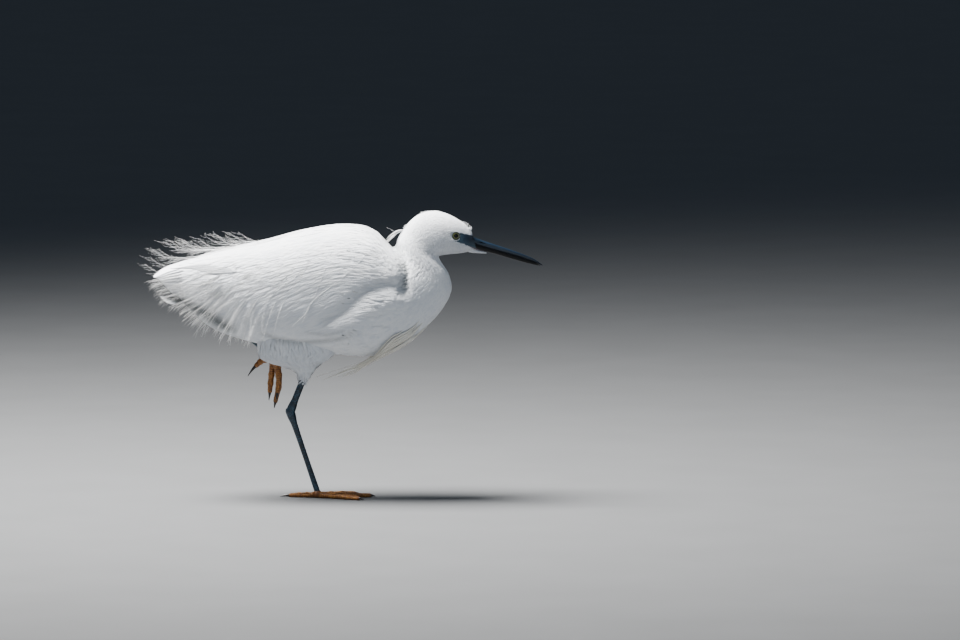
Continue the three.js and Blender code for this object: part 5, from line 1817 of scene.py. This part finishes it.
def seeds_on(limb, spacing, front, plates, span, rng):
    """Seed points for scales: a row of plates down the front and small scales over the rest."""
    middle = limb.at(np.linspace(0, 1, 60), 0.0)[0] / MM
    length = np.linalg.norm(np.diff(middle, axis=0), axis=1).sum() * (span[1] - span[0])
    rows = []

    def radius(t):
        size = limb.sizes(np.array(t * limb.last))
        return (size[0] + size[1]) / 2

    bands = max(2, int(length / spacing))
    free = 1 - PLATE_ARC / FULL_TURN
    for i in range(bands):
        t = mix(*span, (i + 0.5) / bands)
        girth = FULL_TURN * radius(t) * free
        around = max(4, int(girth / spacing))
        for k in range(around):
            angle = front + PLATE_ARC / 2 + FULL_TURN * free * (k + 0.5 * (i % 2) + 0.25) / around
            rows.append((t, angle, girth / around * LAPS_ACROSS, spacing * LAPS_ALONG))
    for i in range(int(length / plates)):
        t = mix(*span, (i + 0.5) * plates / length)
        rows.append((t, front, PLATE_ARC * PLATE_LAPS * radius(t), plates * PLATE_LAPS))
    t, angle, wide, long = np.array(rows).T
    points, outward = limb.at(t, angle, -0.12)
    ahead = limb.at(np.minimum(t + 0.01, 1), angle)[0] - limb.at(np.maximum(t - 0.01, 0), angle)[0]
    jitter = rng.uniform(0.92, 1.05, len(t))
    return points, outward, unit(ahead), wide * jitter * MM, long * jitter * MM


# %% Run the tree on one part of a leg
FLOOR_ROOM = 0.0011


def scaled_piece(name, parts, finish, seed, extra=()):
    """Tubes covered with scales. Parts are (limb, spacing, front angle, plate length, span)."""
    rng = random_from(seed)
    body = join_tubes(name + "_body", [limb_rings(limb, 46, 22) for limb, *_ in parts] + list(extra))
    points, outward, along, wide, long = stacked([seeds_on(*part, rng) for part in parts])
    clear = points[:, 2] > FLOOR_ROOM
    cloud = bpy.data.meshes.new(name)
    cloud.from_pydata(points[clear].tolist(), [], [])
    seeds = in_scene(name, cloud)
    for key, values in (("outward", outward), ("along", along), ("wide", wide), ("long", long)):
        add_value(seeds, key, values[clear])
    add_value(seeds, "tone", rng.random(clear.sum()))
    laid = seeds.modifiers.new("scales", "NODES")
    laid.node_group = lay_scales
    given = {"Scale Shape": one_scale, "Body": body, "Thickness": 0.0009, "Finish": finish}
    for key, value in given.items():
        laid[input_named(lay_scales, key)] = value
    settle(seeds)
    bpy.data.objects.remove(body)
    height = np.zeros(len(seeds.data.vertices) * 3, np.float32)
    seeds.data.vertices.foreach_get("co", height)
    height[2::3] = np.maximum(height[2::3], 0.0)
    seeds.data.vertices.foreach_set("co", height)
    seeds.data.shade_smooth()
    seeds.data.set_sharp_from_angle(angle=math.radians(50))
    return seeds


# %% Finishes of legs and toes
def leg_finish(name, dark, light, joint, roughness=0.42):
    finish, tree, shader = new_finish(name, roughness, 0.5)
    place = own_place(tree)
    both = sums(tree, "ADD", read_value(tree, "tone"), noise(tree, place, 160.0, 5.0))
    tone = sums(tree, "MULTIPLY", both, 0.5)
    paint(tree, shader, colour_steps(tree, tone, [(0.22, joint), (0.4, dark), (0.75, light)]))
    bump(tree, shader, noise(tree, place, 2200.0, 3.0), 0.25, 0.0002)
    return finish


leg_dark = leg_finish("dark_leg_scales", (0.008, 0.026, 0.046), (0.028, 0.075, 0.115),
                      (0.003, 0.008, 0.014))
toe_yellow = leg_finish("toe_scales", (0.27, 0.10, 0.018), (0.42, 0.18, 0.036), (0.15, 0.05, 0.01), 0.5)
claw_horn, _, claw_shader = new_finish("claw_horn", 0.3, 0.5)
claw_shader.inputs["Base Color"].default_value = (0.008, 0.006, 0.005, 1)
print("leg finishes:", [finish.name for finish in (leg_dark, toe_yellow, claw_horn)])


# %% Shanks, shins and feet
FRONT = HALF_TURN / 2
leg_pieces = {}
for side, leg, seed in (("right", STANDING, 5), ("left", LIFTED, 6)):
    shank = bone_limb(leg["feathered"], leg["ankle"], SHANK_ROWS)
    shin = bone_limb(leg["ankle"], leg["foot"], SHIN_ROWS)
    bones = (("shank", shank, 2.6, (0.14, 0.98), seed), ("shin", shin, 2.9, (0.02, 0.99), seed + 10))
    for name, limb, plate, span, own_seed in bones:
        leg_pieces[f"{name}_{side}"] = scaled_piece(
            f"{name}_scales_{side}", [(limb, 1.7, FRONT, plate, span)], leg_dark, own_seed)


def ball_rings(centre, radius, rows=14, around=22):
    tilt, turn = np.linspace(0.03, HALF_TURN - 0.03, rows)[:, None], turns(around)[None, :]
    ball = np.stack([np.sin(tilt) * np.cos(turn), np.sin(tilt) * np.sin(turn), np.cos(tilt) + 0 * turn],
                    axis=-1)
    return (np.array(centre, float) + ball * radius) * MM


for side, toes, centre, seed in (("right", right_toes, (-1, 0, 4.2), 31),
                                 ("left", left_toes, (-50, 10, 158), 32)):
    parts = [(limb, 1.55, -FRONT if key == "hind" else FRONT, 2.3, (0.03, 0.97))
             for key, limb in toes.items()]
    leg_pieces[f"foot_{side}"] = scaled_piece(f"toe_scales_{side}", parts, toe_yellow, seed,
                                              [ball_rings(centre, 5.2)])
print({name: triangles(piece) for name, piece in leg_pieces.items()})


# %% Claws: flattened hooks
CLAW_LENGTH = {"inner": 7.5, "middle": 6, "outer": 7.5, "hind": 12}
SUNK_IN_TOE = 1.2


def claw_rings(limb, length, lifted):
    """A hook that leaves the toe's end; on the floor it lies flat, in the air it bends down."""
    end, before = limb.line(np.array(float(limb.last))), limb.line(np.array(limb.last - 0.05))
    t = np.linspace(0, 1, 14)[:, None]
    drop, thick = (0.35, 2.0) if lifted else (0.12, 1.75)
    centre = end + unit(end - before) * (length * t - SUNK_IN_TOE)
    centre = centre + np.array([0, 0, -1.0]) * length * drop * t ** 2
    if lifted:
        centre[:, 0] -= (length * 0.05 * t ** 2)[:, 0]
    else:
        centre[:, 2] = np.maximum(centre[:, 2], 1.1 * (1 - t[:, 0]) + 0.45)
    radius = mix(thick, 0.3, t[:, 0] ** 1.2)
    claw = Limb([(*at, r * 0.8, r) for at, r in zip(centre, radius)])
    rings = limb_rings(claw, 26, 16)
    rings[..., 2] = np.maximum(rings[..., 2], 0.0)
    return rings


claws = {}
for side, toes in (("right", right_toes), ("left", left_toes)):
    for key, limb in toes.items():
        rings = claw_rings(limb, CLAW_LENGTH[key], side == "left")
        claws[f"claw_{side}_{key}"] = join_tubes(f"claw_{side}_{key}_horn", [rings])
bpy.data.objects.remove(one_scale)
print(len(claws), "claws of", triangles(claws["claw_left_hind"]), "triangles each")

# %% [markdown]
# ## Hand the pieces to the frame
#
# Every piece rides on the bird's one body and takes its finish, and the plain solids of the frame
# that it stands for are hidden.

# %% Finishes, body and the solids that each piece stands for
STANDS_FOR = {
    "skin": ("torso", "neck_lower", "neck_upper", "head", "thigh_left", "thigh_right"),
    "plumage_mantle": ("mantle",),
    "tail_feathers": ("tail",),
    "wing_feathers_left_coverts": ("wing_left",),
    "wing_feathers_right_coverts": ("wing_right",),
}


def hand_over(piece, slot, finish, *nodes):
    """Without a finish the piece keeps the one that its tree gave it."""
    if finish:
        piece.data.materials.clear()
        piece.data.materials.append(finish)
    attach(piece, "root")
    if nodes:
        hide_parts(*nodes)


for piece, finish in [(skin, down), *coat_pieces]:
    hand_over(piece, "plumage", finish, *STANDS_FOR.get(piece.name, ()))
for name, piece in {**leg_pieces, **claws}.items():
    slot = {"foot": "toe_skin", "claw": "claw_horn"}.get(name.split("_")[0], "leg_skin")
    hand_over(piece, slot, claw_horn if slot == "claw_horn" else None, name)
for side in ("left", "right"):
    hand_over(eyes[side], "eye", eye_finish, f"eye_{side}")
    hand_over(eyelids[side], "bare_face", lid_finish)
    hand_over(lores[side], "bare_face", lore_finish, f"lore_{side}")
hand_over(upper_bill, "bill_horn", upper_horn, "bill_upper")
hand_over(lower_bill, "bill_horn", lower_horn, "bill_lower")
total = sum(triangles(piece) for piece, _ in coat_pieces)
print(len(coat_pieces), "coat pieces,", total, "triangles")
